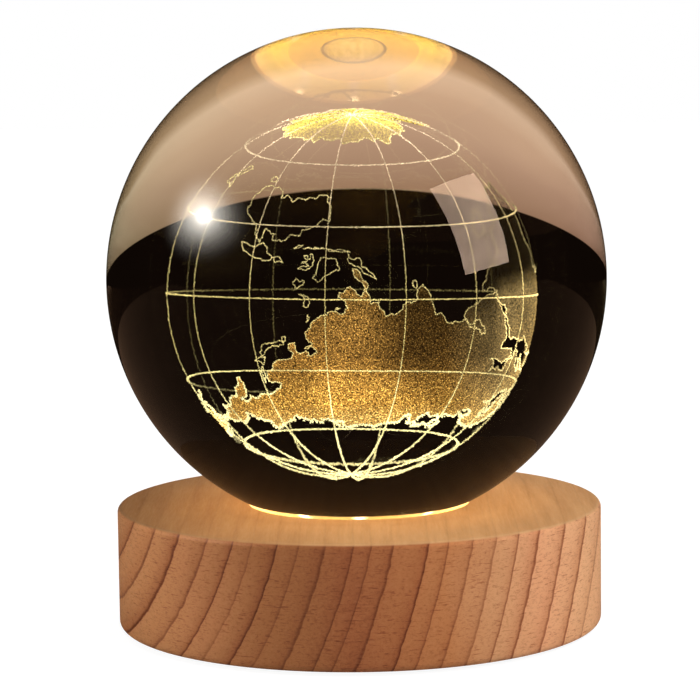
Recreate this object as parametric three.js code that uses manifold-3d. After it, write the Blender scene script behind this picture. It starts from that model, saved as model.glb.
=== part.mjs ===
// Crystal ball lamp: a solid glass ball resting in a lit, turned beech base. Millimetres, +Z up.
// The origin is the centre of the base on the surface it stands on.
// The front faces -Y, and the inlet and the button are at the back, +Y.
import * as THREE from 'three';
import { mergeVertices } from 'three/addons/utils/BufferGeometryUtils.js';
import Module from 'manifold-3d';

const wasm = await Module();
wasm.setup();

// Driving dimensions
const ballRadius = 40;
const baseHeight = 19.4;
const ballSink = 4; // how far the ball's lowest point lies below the wood's top face
const footLift = 0.6; // how far the feet hold the wood off the surface
const buttonTravel = 1;

// Clearances
const fitGap = 0.3; // between pieces that fit into each other
const slimGap = 0.12; // inside the small bought-in parts
const overrun = 1; // how far a cutter runs past what it cuts

// Turned base
const topEdgeRounding = 0.9;
const bottomEdgeRounding = 1.1;
const mouthChamfer = 0.3;
const topThickness = 7.5; // wood between the top face and the hollow's ceiling
const rimWidth = 5; // wood outside the bottom cover's rebate
const ledgeWidth = 7; // wood that the bottom cover is screwed to
const seatDepth = 3; // pocket that holds the seat ring

// Seat ring
const seatRingWidth = 3;
const seatRingInset = 0.3; // how far its outer rim lies below the wood's top face

// Light window and reflector cup
const windowDrop = 1.2; // from the ball's lowest point to the window
const windowThickness = 1.5;
const windowLap = 1; // how far the window rests on the cup's wall
const cupWall = 1.6;
const cupFloor = 1.2;
const cupCollarWidth = 1.5;
const cupCollarThickness = 1.6;
const cupEarRadius = 3;
const wireHoleRadius = 2.6;
const wireHoleInset = 5.2; // from the cup's bore to the centre of the wire hole

// Lights and their board
const ledBoardThickness = 1.2;
const ledSize = 5;
const ledHeight = 1.4;
const ledLensRadius = 1.9;
const ledLensDepth = 0.2;
const ledHeadroom = 0.4;
const ledMargin = 1; // from the board's rim to the outer side of a light
const ledCount = 6;
const resistorLength = 3.2;
const resistorWidth = 1.6;
const resistorHeight = 0.6;
const resistorPitch = 3.2;

// Bottom cover and feet
const coverThickness = 1.6;
const coverSink = 0.4; // how far the cover lies above the wood's underside
const coverNotchLap = 0.5; // how far the cover reaches past the rear notch's corners
const footRadius = 4;
const footInset = 9.7; // from the cover's rim to the centre of a foot
const footChamfer = 0.2;
const footCount = 4;

// Control board with the power inlet and the switch, hung from the hollow's ceiling
const boardHalfWidth = 14;
const boardDepth = 11.5;
const boardCollarGap = 2.227; // between the cup's collar and the control board
const boardThickness = 1.2;
const boardScrewInset = 1.9;
const inletOffset = -7; // inlet centre along X
const buttonOffset = 7.4; // button centre along X
const shellWidth = 8.94;
const shellHeight = 3.26;
const shellLength = 7.3;
const shellWall = 0.3;
const shellReach = 2.5; // how far the shell reaches into the slot in the wood
const tongueWidth = 6.7;
const tongueThickness = 0.7;
const tongueLength = 4.4;
const insulatorDepth = 2;
const plugSlotWidth = 13;
const plugSlotHeight = 7;
const switchWidth = 6.2;
const switchHeight = 3.4;
const switchDepth = 5;
const switchBoreRadius = 1.4;
const plungerInside = 2; // length of plunger inside the switch at rest
const plungerOutside = 1.8;
const chipWidth = 4.9;
const chipDepth = 3.9;
const chipHeight = 1.5;
const chipInset = 0.9; // from the board's front edge
const chipScrewGap = 1.05; // between the chip and the screw beside it

// Screws
const coverScrew = { headRadius: 2.3, headHeight: 0.9, shankRadius: 1.1, length: 7 };
const cupScrew = { headRadius: 1.9, headHeight: 1.4, shankRadius: 0.9, length: 5 };
const boardScrew = { headRadius: 1.6, headHeight: 1.2, shankRadius: 0.8, length: 5 };
const coverScrewCount = 4;
const cupScrewCount = 3;
const tipHeightShare = 0.2;
const headEdgeShare = 0.35;
const recessWidthShare = 0.3;
const recessSpanShare = 1.25;
const recessDepthShare = 0.5;

// Power button
const buttonRadius = 3.2;
const buttonProud = 1; // how far its face stands out of the wood on the button's axis
const buttonEdge = 0.5;
const buttonNeckRadius = 1.5;
const buttonBarWidth = 9;
const buttonBarThickness = 1;

// Wires
const wireRadius = 0.6;
const wireHalfPitch = 1.1; // half the distance between the two wires
const wireDip = 1.4; // how far the wires pass below the cup
const wireBoardInset = 1.6; // from the control board's front edge to where the wires leave it

// Number of flat sides on round pieces
const wideSides = 48;
const smallSides = 16;
const screwSides = 12;
const wireSides = 8;
const arcSteps = 4;
const seatSteps = 4;
const slotSteps = 3;
const ballStacks = 24;
const wireSteps = 20;

// Heights worked out from the sizes above
const woodBottom = footLift;
const woodTop = woodBottom + baseHeight;
const ballCentre = woodTop - ballSink + ballRadius;
const ballBottom = ballCentre - ballRadius;
const ceiling = woodTop - topThickness;
const seatFloor = woodTop - seatDepth;
const windowTop = ballBottom - windowDrop;
const windowBottom = windowTop - windowThickness;
const ledTop = windowBottom - ledHeadroom;
const ledBoardTop = ledTop - ledHeight;
const ledBoardBottom = ledBoardTop - ledBoardThickness;
const cupBottom = ledBoardBottom - cupFloor;
const coverBottom = woodBottom + coverSink;
const coverTop = coverBottom + coverThickness;
const coverScrewSeat = coverBottom + coverScrew.headHeight;
const collarBottom = ceiling - cupCollarThickness;
const boardBottom = ceiling - boardThickness;
const inletAxis = boardBottom - shellHeight / 2;
const buttonAxis = boardBottom - switchHeight / 2;

// Radii and places worked out from the sizes above
const ballMouthRadius = Math.sqrt(ballRadius ** 2 - (ballRadius - ballSink) ** 2);
const pocketRadius = ballMouthRadius + fitGap;
const seatRingOuter = pocketRadius - fitGap;
const seatRingInner = seatRingOuter - seatRingWidth;
const wellRadius = seatRingInner;
const cupRadius = wellRadius - fitGap;
const cupBore = cupRadius - cupWall;
const ledBoardRadius = cupBore - fitGap;
const ledRingRadius = ledBoardRadius - ledMargin - ledSize / 2;
const cupScrewRadius = cupRadius + cupEarRadius;
const wireHoleY = cupBore - wireHoleInset;
const boardFront = wellRadius + cupCollarWidth + boardCollarGap;
const boardBack = boardFront + boardDepth;
const notchHalfWidth = boardHalfWidth + fitGap;
const notchEnd = boardBack + fitGap;
const coverRadius = Math.hypot(notchEnd, notchHalfWidth) + coverNotchLap;
const rebateRadius = coverRadius + fitGap;
const baseRadius = rebateRadius + rimWidth;
const hollowRadius = rebateRadius - ledgeWidth;
const coverScrewRadius = rebateRadius - ledgeWidth / 2;
const footRingRadius = coverRadius - footInset;
const shellMouth = notchEnd + shellReach;
const buttonBarBack = notchEnd - fitGap;
const buttonBarFront = buttonBarBack - buttonBarThickness;
const plungerTip = buttonBarFront - fitGap;
const switchBack = plungerTip - plungerOutside;
const buttonBoreRadius = buttonRadius + fitGap;
const buttonHeadStart = notchEnd + buttonTravel + fitGap;
const buttonFace = Math.sqrt(baseRadius ** 2 - buttonOffset ** 2) + buttonProud;

const finish = (color, roughness, metalness = 0) =>
  new THREE.MeshStandardMaterial({ color, roughness, metalness });
const seeThrough = (color, roughness, opacity) =>
  new THREE.MeshStandardMaterial({ color, roughness, opacity, transparent: true });
const glass = seeThrough(0xe8eef0, 0.02, 0.35);
const beech = finish(0xb9794a, 0.55);
const clearSilicone = seeThrough(0xf4ead8, 0.4, 0.6);
const clearPlastic = seeThrough(0xf6f2e6, 0.2, 0.5);
const whitePlastic = finish(0xf2f0ea, 0.45);
const boardWhite = finish(0xf1efe6, 0.5);
const boardGreen = finish(0x1f5a3a, 0.5);
const phosphor = finish(0xf3c948, 0.5);
const chipBlack = finish(0x17171a, 0.5);
const steel = finish(0xb9bcc0, 0.3, 1);
const blackPlastic = finish(0x1b1b1c, 0.6);
const blackRubber = finish(0x161616, 0.9);
const redInsulation = finish(0xb3221c, 0.5);
const blackInsulation = finish(0x1a1a1a, 0.5);

const object = new THREE.Group();

// Adds a piece. Its shape is already in place, because all pieces share the object's frame.
function add(name, geometry, material) {
  const mesh = new THREE.Mesh(geometry, material);
  mesh.name = name;
  object.add(mesh);
}

// A closed three.js geometry as a solid that can be joined and cut
function solid(geometry) {
  const bare = geometry.clone();
  bare.deleteAttribute('normal');
  bare.deleteAttribute('uv');
  const merged = mergeVertices(bare);
  const corners = merged.index.array;
  const triangles = [];
  for (let i = 0; i < corners.length; i += 3) {
    const [a, b, c] = corners.slice(i, i + 3);
    if (a !== b && b !== c && c !== a) triangles.push(a, b, c);
  }
  const vertProperties = merged.attributes.position.array;
  const triVerts = Uint32Array.from(triangles);
  return new wasm.Manifold(new wasm.Mesh({ numProp: 3, vertProperties, triVerts }));
}

// The geometry of a solid
function geometryOf(shape) {
  const mesh = shape.getMesh();
  const geometry = new THREE.BufferGeometry();
  geometry.setAttribute('position', new THREE.BufferAttribute(mesh.vertProperties.slice(), mesh.numProp));
  geometry.setIndex(new THREE.BufferAttribute(mesh.triVerts.slice(), 1));
  geometry.computeVertexNormals();
  return geometry;
}

// Turns an outline of [radius, height] points about the Z axis. The points run anticlockwise.
function turned(outline, sides) {
  const points = outline.map(([radius, height]) => new THREE.Vector2(radius, height));
  return new THREE.LatheGeometry(points, sides).rotateX(Math.PI / 2);
}

function closedTurned(outline, sides) {
  return turned([...outline, outline[0]], sides);
}

// Points of an arc about (radius, height), from one angle to another
function arc(radius, height, size, from, to, steps) {
  return Array.from({ length: steps + 1 }, (_, i) => {
    const angle = from + ((to - from) * i) / steps;
    return [radius + size * Math.cos(angle), height + size * Math.sin(angle)];
  });
}

function upright(radius, low, high, sides) {
  return turned([[0, low], [radius, low], [radius, high], [0, high]], sides);
}

function block(width, depth, height, x, y, low) {
  return new THREE.BoxGeometry(width, depth, height).translate(x, y, low + height / 2);
}

// A cylinder along Y
function rod(radius, from, to, x, z, sides) {
  return new THREE.CylinderGeometry(radius, radius, to - from, sides).translate(x, (from + to) / 2, z);
}

// A slot outline with round ends, drawn along Y
function slotAlongY(width, height, from, to, x, z) {
  const reach = (width - height) / 2;
  const outline = new THREE.Shape();
  outline.absarc(reach, 0, height / 2, -Math.PI / 2, Math.PI / 2, false);
  outline.absarc(-reach, 0, height / 2, Math.PI / 2, (3 * Math.PI) / 2, false);
  const extruded = new THREE.ExtrudeGeometry(outline, {
    depth: to - from,
    curveSegments: slotSteps,
    bevelEnabled: false,
  });
  return extruded.rotateX(Math.PI / 2).translate(x, to, z);
}

// Places spread evenly on a circle
function ring(count, radius, firstAngle) {
  return Array.from({ length: count }, (_, i) => {
    const angle = firstAngle + (i * 2 * Math.PI) / count;
    return [radius * Math.cos(angle), radius * Math.sin(angle)];
  });
}

const coverScrewPlaces = ring(coverScrewCount, coverScrewRadius, Math.PI / 4);
const cupScrewPlaces = ring(cupScrewCount, cupScrewRadius, Math.PI / 6);
const boardScrewPlaces = [-1, 1].map((side) => [
  side * (boardHalfWidth - boardScrewInset),
  boardFront + boardScrewInset,
]);

// A screw driven upwards: pan head below, plain shank with a point, cross recess in the head
function screw({ headRadius, headHeight, shankRadius, length }, x, y, seat) {
  const low = seat - headHeight;
  const edge = headHeight * headEdgeShare;
  const body = solid(turned([
    [0, low],
    [headRadius - edge, low],
    [headRadius, low + edge],
    [headRadius, seat],
    [shankRadius, seat],
    [shankRadius, seat + length * (1 - tipHeightShare)],
    [0, seat + length],
  ], screwSides));
  const width = headRadius * recessWidthShare;
  const span = headRadius * recessSpanShare;
  const depth = headHeight * recessDepthShare + overrun;
  const slot = solid(block(span, width, depth, 0, 0, low - overrun));
  const crossSlot = solid(block(width, span, depth, 0, 0, low - overrun));
  return geometryOf(body.subtract(slot.add(crossSlot))).translate(x, y, 0);
}

// Adds one screw for each place, numbered from 1
function addScrews(name, size, places, seat) {
  places.forEach(([x, y], i) => add(`${name}_${i + 1}`, screw(size, x, y, seat), steel));
}

// The hole that a screw's shank goes into, cut with the fit gap all round
function pilotHole({ shankRadius, length }, x, y, seat) {
  const top = seat + length + fitGap;
  return solid(upright(shankRadius + fitGap, seat - overrun, top, screwSides).translate(x, y, 0));
}

function throughHole(radius, low, high, x, y) {
  return solid(upright(radius, low - overrun, high + overrun, screwSides).translate(x, y, 0));
}

function crystalBall() {
  const sphere = new THREE.SphereGeometry(ballRadius, wideSides, ballStacks);
  add('crystal_ball', sphere.rotateX(Math.PI / 2).translate(0, 0, ballCentre), glass);
}

function woodBase() {
  const quarter = Math.PI / 2;
  const bottomArcHeight = woodBottom + bottomEdgeRounding;
  const topArcHeight = woodTop - topEdgeRounding;
  let body = solid(closedTurned([
    [rebateRadius, woodBottom],
    ...arc(baseRadius - bottomEdgeRounding, bottomArcHeight, bottomEdgeRounding, -quarter, 0, arcSteps),
    ...arc(baseRadius - topEdgeRounding, topArcHeight, topEdgeRounding, 0, quarter, arcSteps),
    [pocketRadius + mouthChamfer, woodTop],
    [pocketRadius, woodTop - mouthChamfer],
    [pocketRadius, seatFloor],
    [wellRadius, seatFloor],
    [wellRadius, ceiling],
    [hollowRadius, ceiling],
    [hollowRadius, coverTop],
    [rebateRadius, coverTop],
  ], wideSides));
  const notchBottom = coverTop - overrun;
  const notchHeight = ceiling - notchBottom;
  const inside = notchEnd - overrun;
  const outside = baseRadius + overrun;
  const cuts = [
    solid(block(2 * notchHalfWidth, notchEnd, notchHeight, 0, notchEnd / 2, notchBottom)),
    solid(slotAlongY(plugSlotWidth, plugSlotHeight, inside, outside, inletOffset, inletAxis)),
    solid(rod(buttonBoreRadius, inside, outside, buttonOffset, buttonAxis, smallSides)),
    ...coverScrewPlaces.map(([x, y]) => pilotHole(coverScrew, x, y, coverScrewSeat)),
    ...cupScrewPlaces.map(([x, y]) => pilotHole(cupScrew, x, y, collarBottom)),
    ...boardScrewPlaces.map(([x, y]) => pilotHole(boardScrew, x, y, boardBottom)),
  ];
  for (const cut of cuts) body = body.subtract(cut);
  add('wood_base', geometryOf(body), beech);
}

// The ring's upper face follows the ball at the fit gap
function seatRing() {
  const faceRadius = ballRadius + fitGap;
  const underBall = (radius) => ballCentre - Math.sqrt(faceRadius ** 2 - radius ** 2);
  const rim = woodTop - seatRingInset;
  const upperFace = Array.from({ length: seatSteps + 1 }, (_, i) => {
    const radius = seatRingOuter - ((seatRingOuter - seatRingInner) * i) / seatSteps;
    return [radius, Math.min(rim, underBall(radius))];
  });
  add('seat_ring', closedTurned([
    [seatRingInner, seatFloor],
    [seatRingOuter, seatFloor],
    ...upperFace,
  ], wideSides), clearSilicone);
}

function lightWindow() {
  const radius = cupBore + windowLap - fitGap;
  add('light_window', upright(radius, windowBottom, windowTop, wideSides), clearPlastic);
}

function reflectorCup() {
  const shell = solid(turned([
    [0, cupBottom],
    [cupRadius, cupBottom],
    [cupRadius, windowTop],
    [cupBore + windowLap, windowTop],
    [cupBore + windowLap, windowBottom],
    [cupBore, windowBottom],
    [cupBore, ledBoardBottom],
    [0, ledBoardBottom],
  ], wideSides));
  const collar = solid(closedTurned([
    [cupRadius - cupWall / 2, collarBottom],
    [wellRadius + cupCollarWidth, collarBottom],
    [wellRadius + cupCollarWidth, ceiling],
    [cupRadius - cupWall / 2, ceiling],
  ], wideSides));
  let cup = shell.add(collar);
  for (const [x, y] of cupScrewPlaces) {
    cup = cup.add(solid(upright(cupEarRadius, collarBottom, ceiling, smallSides).translate(x, y, 0)));
  }
  for (const [x, y] of cupScrewPlaces) {
    cup = cup.subtract(throughHole(cupScrew.shankRadius + fitGap, collarBottom, ceiling, x, y));
  }
  cup = cup.subtract(throughHole(wireHoleRadius, cupBottom, ledBoardBottom, 0, wireHoleY));
  add('reflector_cup', geometryOf(cup), whitePlastic);
  addScrews('cup_screw', cupScrew, cupScrewPlaces, collarBottom);
}

function lights() {
  add('led_board', upright(ledBoardRadius, ledBoardBottom, ledBoardTop, wideSides), boardWhite);
  ring(ledCount, ledRingRadius, Math.PI / 2).forEach(([x, y], i) => {
    const body = solid(block(ledSize, ledSize, ledHeight, 0, 0, ledBoardTop));
    const lens = solid(upright(ledLensRadius, ledTop - ledLensDepth, ledTop + overrun, smallSides));
    const turn = Math.atan2(y, x);
    add(`led_${i + 1}`, geometryOf(body.subtract(lens)).rotateZ(turn).translate(x, y, 0), phosphor);
  });
  [-1, 1].forEach((side, i) => {
    const y = (side * resistorPitch) / 2;
    const body = block(resistorLength, resistorWidth, resistorHeight, 0, y, ledBoardTop);
    add(`led_resistor_${i + 1}`, body, chipBlack);
  });
}

function controlBoard() {
  const middle = (boardFront + boardBack) / 2;
  let board = solid(block(2 * boardHalfWidth, boardDepth, boardThickness, 0, middle, boardBottom));
  for (const [x, y] of boardScrewPlaces) {
    board = board.subtract(throughHole(boardScrew.shankRadius + fitGap, boardBottom, ceiling, x, y));
  }
  add('control_board', geometryOf(board), boardGreen);
  addScrews('board_screw', boardScrew, boardScrewPlaces, boardBottom);
  const chipY = boardFront + chipInset + chipDepth / 2;
  const chipX = boardScrewInset + boardScrew.headRadius + chipScrewGap + chipWidth / 2 - boardHalfWidth;
  const chipLow = boardBottom - chipHeight;
  add('control_chip', block(chipWidth, chipDepth, chipHeight, chipX, chipY, chipLow), chipBlack);
}

// The inlet hangs under the board: a steel shell with round sides, open to the back, and the tongue inside it
function powerInlet() {
  const rear = shellMouth - shellLength;
  const outer = solid(slotAlongY(shellWidth, shellHeight, rear, shellMouth, inletOffset, inletAxis));
  const boreWidth = shellWidth - 2 * shellWall;
  const boreHeight = shellHeight - 2 * shellWall;
  const floor = rear + shellWall;
  const bore = solid(slotAlongY(boreWidth, boreHeight, floor, shellMouth + overrun, inletOffset, inletAxis));
  add('inlet_shell', geometryOf(outer.subtract(bore)), steel);
  const plugWidth = boreWidth - 2 * slimGap;
  const plugHeight = boreHeight - 2 * slimGap;
  const insulatorEnd = floor + insulatorDepth;
  const insulator = solid(slotAlongY(plugWidth, plugHeight, floor, insulatorEnd, inletOffset, inletAxis));
  const tongueDepth = tongueLength + overrun;
  const tongueY = insulatorEnd - overrun + tongueDepth / 2;
  const tongue = solid(
    block(tongueWidth, tongueDepth, tongueThickness, inletOffset, tongueY, inletAxis - tongueThickness / 2));
  add('inlet_tongue', geometryOf(insulator.add(tongue)), blackPlastic);
}

function pushSwitch() {
  const middle = switchBack - switchDepth / 2;
  const low = boardBottom - switchHeight;
  const body = solid(block(switchWidth, switchDepth, switchHeight, buttonOffset, middle, low));
  const boreEnd = switchBack - plungerInside - buttonTravel - fitGap;
  const boreMouth = switchBack + overrun;
  const bore = solid(rod(switchBoreRadius, boreEnd, boreMouth, buttonOffset, buttonAxis, smallSides));
  add('switch_body', geometryOf(body.subtract(bore)), blackPlastic);
  const radius = switchBoreRadius - fitGap;
  const inner = switchBack - plungerInside;
  const plunger = rod(radius, inner, plungerTip, buttonOffset, buttonAxis, smallSides);
  add('switch_plunger', plunger, whitePlastic);
}

// The button's bar stays behind the wood and stops it from falling out
function powerButton() {
  const head = solid(turned([
    [0, buttonHeadStart],
    [buttonRadius, buttonHeadStart],
    [buttonRadius, buttonFace - buttonEdge],
    [buttonRadius - buttonEdge, buttonFace],
    [0, buttonFace],
  ], smallSides).rotateX(-Math.PI / 2).translate(buttonOffset, 0, buttonAxis));
  const neckEnd = buttonHeadStart + (buttonFace - buttonHeadStart) / 2;
  const neckStart = (buttonBarFront + buttonBarBack) / 2;
  const neck = solid(rod(buttonNeckRadius, neckStart, neckEnd, buttonOffset, buttonAxis, smallSides));
  const barHeight = 2 * buttonNeckRadius;
  const barY = (buttonBarFront + buttonBarBack) / 2;
  const bar = solid(
    block(buttonBarWidth, buttonBarThickness, barHeight, buttonOffset, barY, buttonAxis - buttonNeckRadius));
  add('power_button', geometryOf(head.add(neck).add(bar)), blackPlastic);
}

// Each wire leaves the control board, passes under the cup and rises through its hole to the light board
function wires() {
  const low = cupBottom - wireDip;
  const start = boardFront + wireBoardInset;
  const startHeight = boardBottom - fitGap;
  const endHeight = ledBoardBottom - fitGap;
  const section = new THREE.Shape();
  section.absarc(0, 0, wireRadius, 0, 2 * Math.PI, false);
  [['wire_red', -1, redInsulation], ['wire_black', 1, blackInsulation]].forEach(([name, side, material]) => {
    const x = side * wireHalfPitch;
    const route = new THREE.CatmullRomCurve3([
      new THREE.Vector3(x, start, startHeight),
      new THREE.Vector3(x, start, (startHeight + low) / 2),
      new THREE.Vector3(x, (start + wireHoleY) / 2, low),
      new THREE.Vector3(x, wireHoleY, (low + endHeight) / 2),
      new THREE.Vector3(x, wireHoleY, endHeight),
    ]);
    const wire = new THREE.ExtrudeGeometry(section, {
      steps: wireSteps,
      curveSegments: wireSides / 2,
      extrudePath: route,
      bevelEnabled: false,
    });
    add(name, wire, material);
  });
}

function bottomCover() {
  let cover = solid(upright(coverRadius, coverBottom, coverTop, wideSides));
  for (const [x, y] of coverScrewPlaces) {
    const sink = upright(coverScrew.headRadius + fitGap, coverBottom - overrun, coverScrewSeat, screwSides);
    const hole = throughHole(coverScrew.shankRadius + fitGap, coverBottom, coverTop, x, y);
    cover = cover.subtract(solid(sink.translate(x, y, 0))).subtract(hole);
  }
  add('bottom_cover', geometryOf(cover), blackPlastic);
  addScrews('cover_screw', coverScrew, coverScrewPlaces, coverScrewSeat);
}

function feet() {
  ring(footCount, footRingRadius, 0).forEach(([x, y], i) => {
    const foot = turned([
      [0, 0],
      [footRadius - footChamfer, 0],
      [footRadius, footChamfer],
      [footRadius, coverBottom],
      [0, coverBottom],
    ], smallSides);
    add(`foot_${i + 1}`, foot.translate(x, y, 0), blackRubber);
  });
}

crystalBall();
woodBase();
seatRing();
lightWindow();
reflectorCup();
lights();
controlBoard();
powerInlet();
pushSwitch();
powerButton();
wires();
bottomCover();
feet();

export default object;
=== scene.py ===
import math
from functools import partial

import bmesh
import bpy
import numpy as np
from mathutils import Matrix, Quaternion, Vector
from mathutils.geometry import delaunay_2d_cdt


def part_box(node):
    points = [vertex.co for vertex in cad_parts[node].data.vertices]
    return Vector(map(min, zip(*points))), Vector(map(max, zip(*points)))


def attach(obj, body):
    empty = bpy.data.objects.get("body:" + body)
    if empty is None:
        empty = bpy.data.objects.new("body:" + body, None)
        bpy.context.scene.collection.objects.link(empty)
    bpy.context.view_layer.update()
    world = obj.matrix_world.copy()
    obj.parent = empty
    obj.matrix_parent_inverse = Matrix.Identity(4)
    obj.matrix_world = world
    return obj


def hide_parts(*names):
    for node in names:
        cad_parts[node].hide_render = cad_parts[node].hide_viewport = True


# Crystal ball lamp: a clear ball with a globe engraved in it, lit from below by a turned beech base.
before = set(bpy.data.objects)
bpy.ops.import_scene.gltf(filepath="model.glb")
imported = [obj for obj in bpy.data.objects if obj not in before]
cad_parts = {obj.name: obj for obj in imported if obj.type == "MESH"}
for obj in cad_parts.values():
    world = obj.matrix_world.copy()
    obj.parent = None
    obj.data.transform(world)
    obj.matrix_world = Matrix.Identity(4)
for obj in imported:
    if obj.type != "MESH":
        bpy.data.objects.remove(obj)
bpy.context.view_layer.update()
mm = 0.001

ballLow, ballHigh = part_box("crystal_ball")
shellLow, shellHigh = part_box("inlet_shell")
tongueLow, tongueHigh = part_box("inlet_tongue")
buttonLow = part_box("power_button")[0]
ballRadius = (ballHigh.z - ballLow.z) / 2
ballCentre = Vector((0, 0, (ballHigh.z + ballLow.z) / 2))
print("frame loaded, ball radius", round(ballRadius / mm, 2), "mm")


# Selects the faces, edges or corners that pass the test, and nothing else
def pick(piece, kind, test):
    bpy.ops.mesh.select_mode(type=kind)
    bpy.ops.mesh.select_all(action="DESELECT")
    mesh = bmesh.from_edit_mesh(piece.data)
    mesh.normal_update()
    items = {"VERT": mesh.verts, "EDGE": mesh.edges, "FACE": mesh.faces}[kind]
    for item in items:
        if test(item):
            item.select_set(True)
    mesh.select_flush_mode()
    bmesh.update_edit_mesh(piece.data)


# Names the primitive that was just added and opens it in edit mode, its place in its corners
def startPiece(name):
    piece = bpy.context.active_object
    piece.name = piece.data.name = name
    bpy.ops.object.transform_apply(location=True, rotation=True, scale=True)
    bpy.ops.object.mode_set(mode="EDIT")
    bpy.ops.mesh.select_all(action="SELECT")
    return piece


# Closes seams, turns the faces outwards and leaves edit mode with smooth shading up to an angle
def endPiece(piece, angle=35, mergeWithin=0.002 * mm):
    bpy.ops.object.mode_set(mode="EDIT")
    bpy.ops.mesh.select_all(action="SELECT")
    bpy.ops.mesh.remove_doubles(threshold=mergeWithin)
    bpy.ops.mesh.normals_make_consistent(inside=False)
    bpy.ops.object.mode_set(mode="OBJECT")
    bpy.ops.object.shade_smooth_by_angle(angle=math.radians(angle))
    return piece


def extrudeUp(step):
    bpy.ops.mesh.extrude_region_move(TRANSFORM_OT_translate={"value": (0, 0, step)})


# Draws an outline of (radius, height) points in mm round a vertical axis: each point is one extrusion
def turnOutline(name, outline, sides, axis=(0, 0), hollow=False):
    x, y = axis[0] * mm, axis[1] * mm
    firstRadius, firstHeight = outline[0]
    fill = "NOTHING" if hollow else "TRIFAN"
    bpy.ops.mesh.primitive_circle_add(
        vertices=sides, radius=firstRadius * mm, fill_type=fill, location=(x, y, firstHeight * mm))
    piece = startPiece(name)
    path = outline + [outline[0]] if hollow else outline
    for (radius, height), (nextRadius, nextHeight) in zip(path, path[1:]):
        extrudeUp((nextHeight - height) * mm)
        share = nextRadius / radius
        centre = (x, y, nextHeight * mm)
        bpy.ops.transform.resize(value=(share, share, 1), center_override=centre)
    return piece


# Points of an arc in an outline, in degrees
def arc(radius, height, size, start, end, steps):
    angles = [math.radians(start + (end - start) * i / steps) for i in range(steps + 1)]
    return [(radius + size * math.cos(a), height + size * math.sin(a)) for a in angles]


def combine(piece, other, operation):
    modifier = piece.modifiers.new("combine", "BOOLEAN")
    modifier.object = other
    modifier.operation = operation
    modifier.solver = "EXACT"
    bpy.context.view_layer.objects.active = piece
    bpy.ops.object.modifier_apply(modifier=modifier.name)
    bpy.data.objects.remove(other)


def cutAway(piece, cutter):
    combine(piece, cutter, "DIFFERENCE")


def joinTo(piece, other):
    combine(piece, other, "UNION")


def boxCutter(low, high):
    size = Vector(high) - Vector(low)
    place = (Vector(high) + Vector(low)) / 2
    bpy.ops.mesh.primitive_cube_add(size=1, location=place, scale=size)
    return endPiece(startPiece("cutter"))


# A bar with round ends along Y, wide along X: a cylinder whose two halves are moved apart
def roundEndedBar(name, width, height, start, end, x, z, sides=48):
    bpy.ops.mesh.primitive_cylinder_add(
        vertices=sides, radius=height / 2, depth=end - start,
        location=(x, (start + end) / 2, z), rotation=(math.pi / 2, 0, 0))
    piece = startPiece(name)
    reach = (width - height) / 2
    for side in (-1, 1):
        pick(piece, "VERT", lambda v: (v.co.x - x) * side > 0.001 * mm)
        bpy.ops.transform.translate(value=(side * reach, 0, 0))
    return piece


def inPlace(piece, body, slot, *nodes):
    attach(piece, body)
    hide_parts(*nodes)


def copyTo(piece, name, shift, turn=0):  # a copy with its own mesh, turned about Z, then moved
    twin = piece.copy()
    twin.data = piece.data.copy()
    twin.name = twin.data.name = name
    bpy.context.collection.objects.link(twin)
    twin.data.transform(Matrix.Translation(shift) @ Matrix.Rotation(turn, 4, "Z"))
    return twin


# Ball: a cube is divided finely and pushed out to a sphere, so it has no poles
ballShape = {"cuts": 90}


def makeBall():
    bpy.ops.mesh.primitive_cube_add(size=2 * ballRadius / math.sqrt(3), location=ballCentre)
    piece = startPiece("clear_ball")
    bpy.ops.mesh.subdivide(number_cuts=ballShape["cuts"])
    bpy.ops.transform.tosphere(value=1)
    mesh = bmesh.from_edit_mesh(piece.data)
    radius = sum((v.co - ballCentre).length for v in mesh.verts) / len(mesh.verts)
    share = ballRadius / radius
    bpy.ops.transform.resize(value=(share, share, share), center_override=ballCentre)
    endPiece(piece, angle=80)
    inPlace(piece, "ball", "crystal", "crystal_ball")
    return piece


# Wood: turned in one piece round a vertical axis, then cut from behind for the socket and the button
wood = {
    "sides": 192, "bottom": 0.6, "top": 20.0, "radius": 39.0, "topRounding": 0.9, "bottomRounding": 1.1,
    "pocket": 17.736, "mouthChamfer": 0.3, "seatFloor": 17.0, "well": 14.436, "ceiling": 12.5,
    "hollow": 27.0, "rebate": 34.0, "rebateTop": 2.6, "notchHalf": 14.3, "notchEnd": 29.963,
    "sideSteps": 6, "topRings": (30.0, 24.0), "notchFloor": 1.6, "boreSides": 48,
}
plugSlot = {"x": -7.0, "z": 9.67, "width": 13.0, "height": 7.0}
buttonBore = {"x": 7.4, "z": 9.6, "radius": 3.5}


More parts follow.
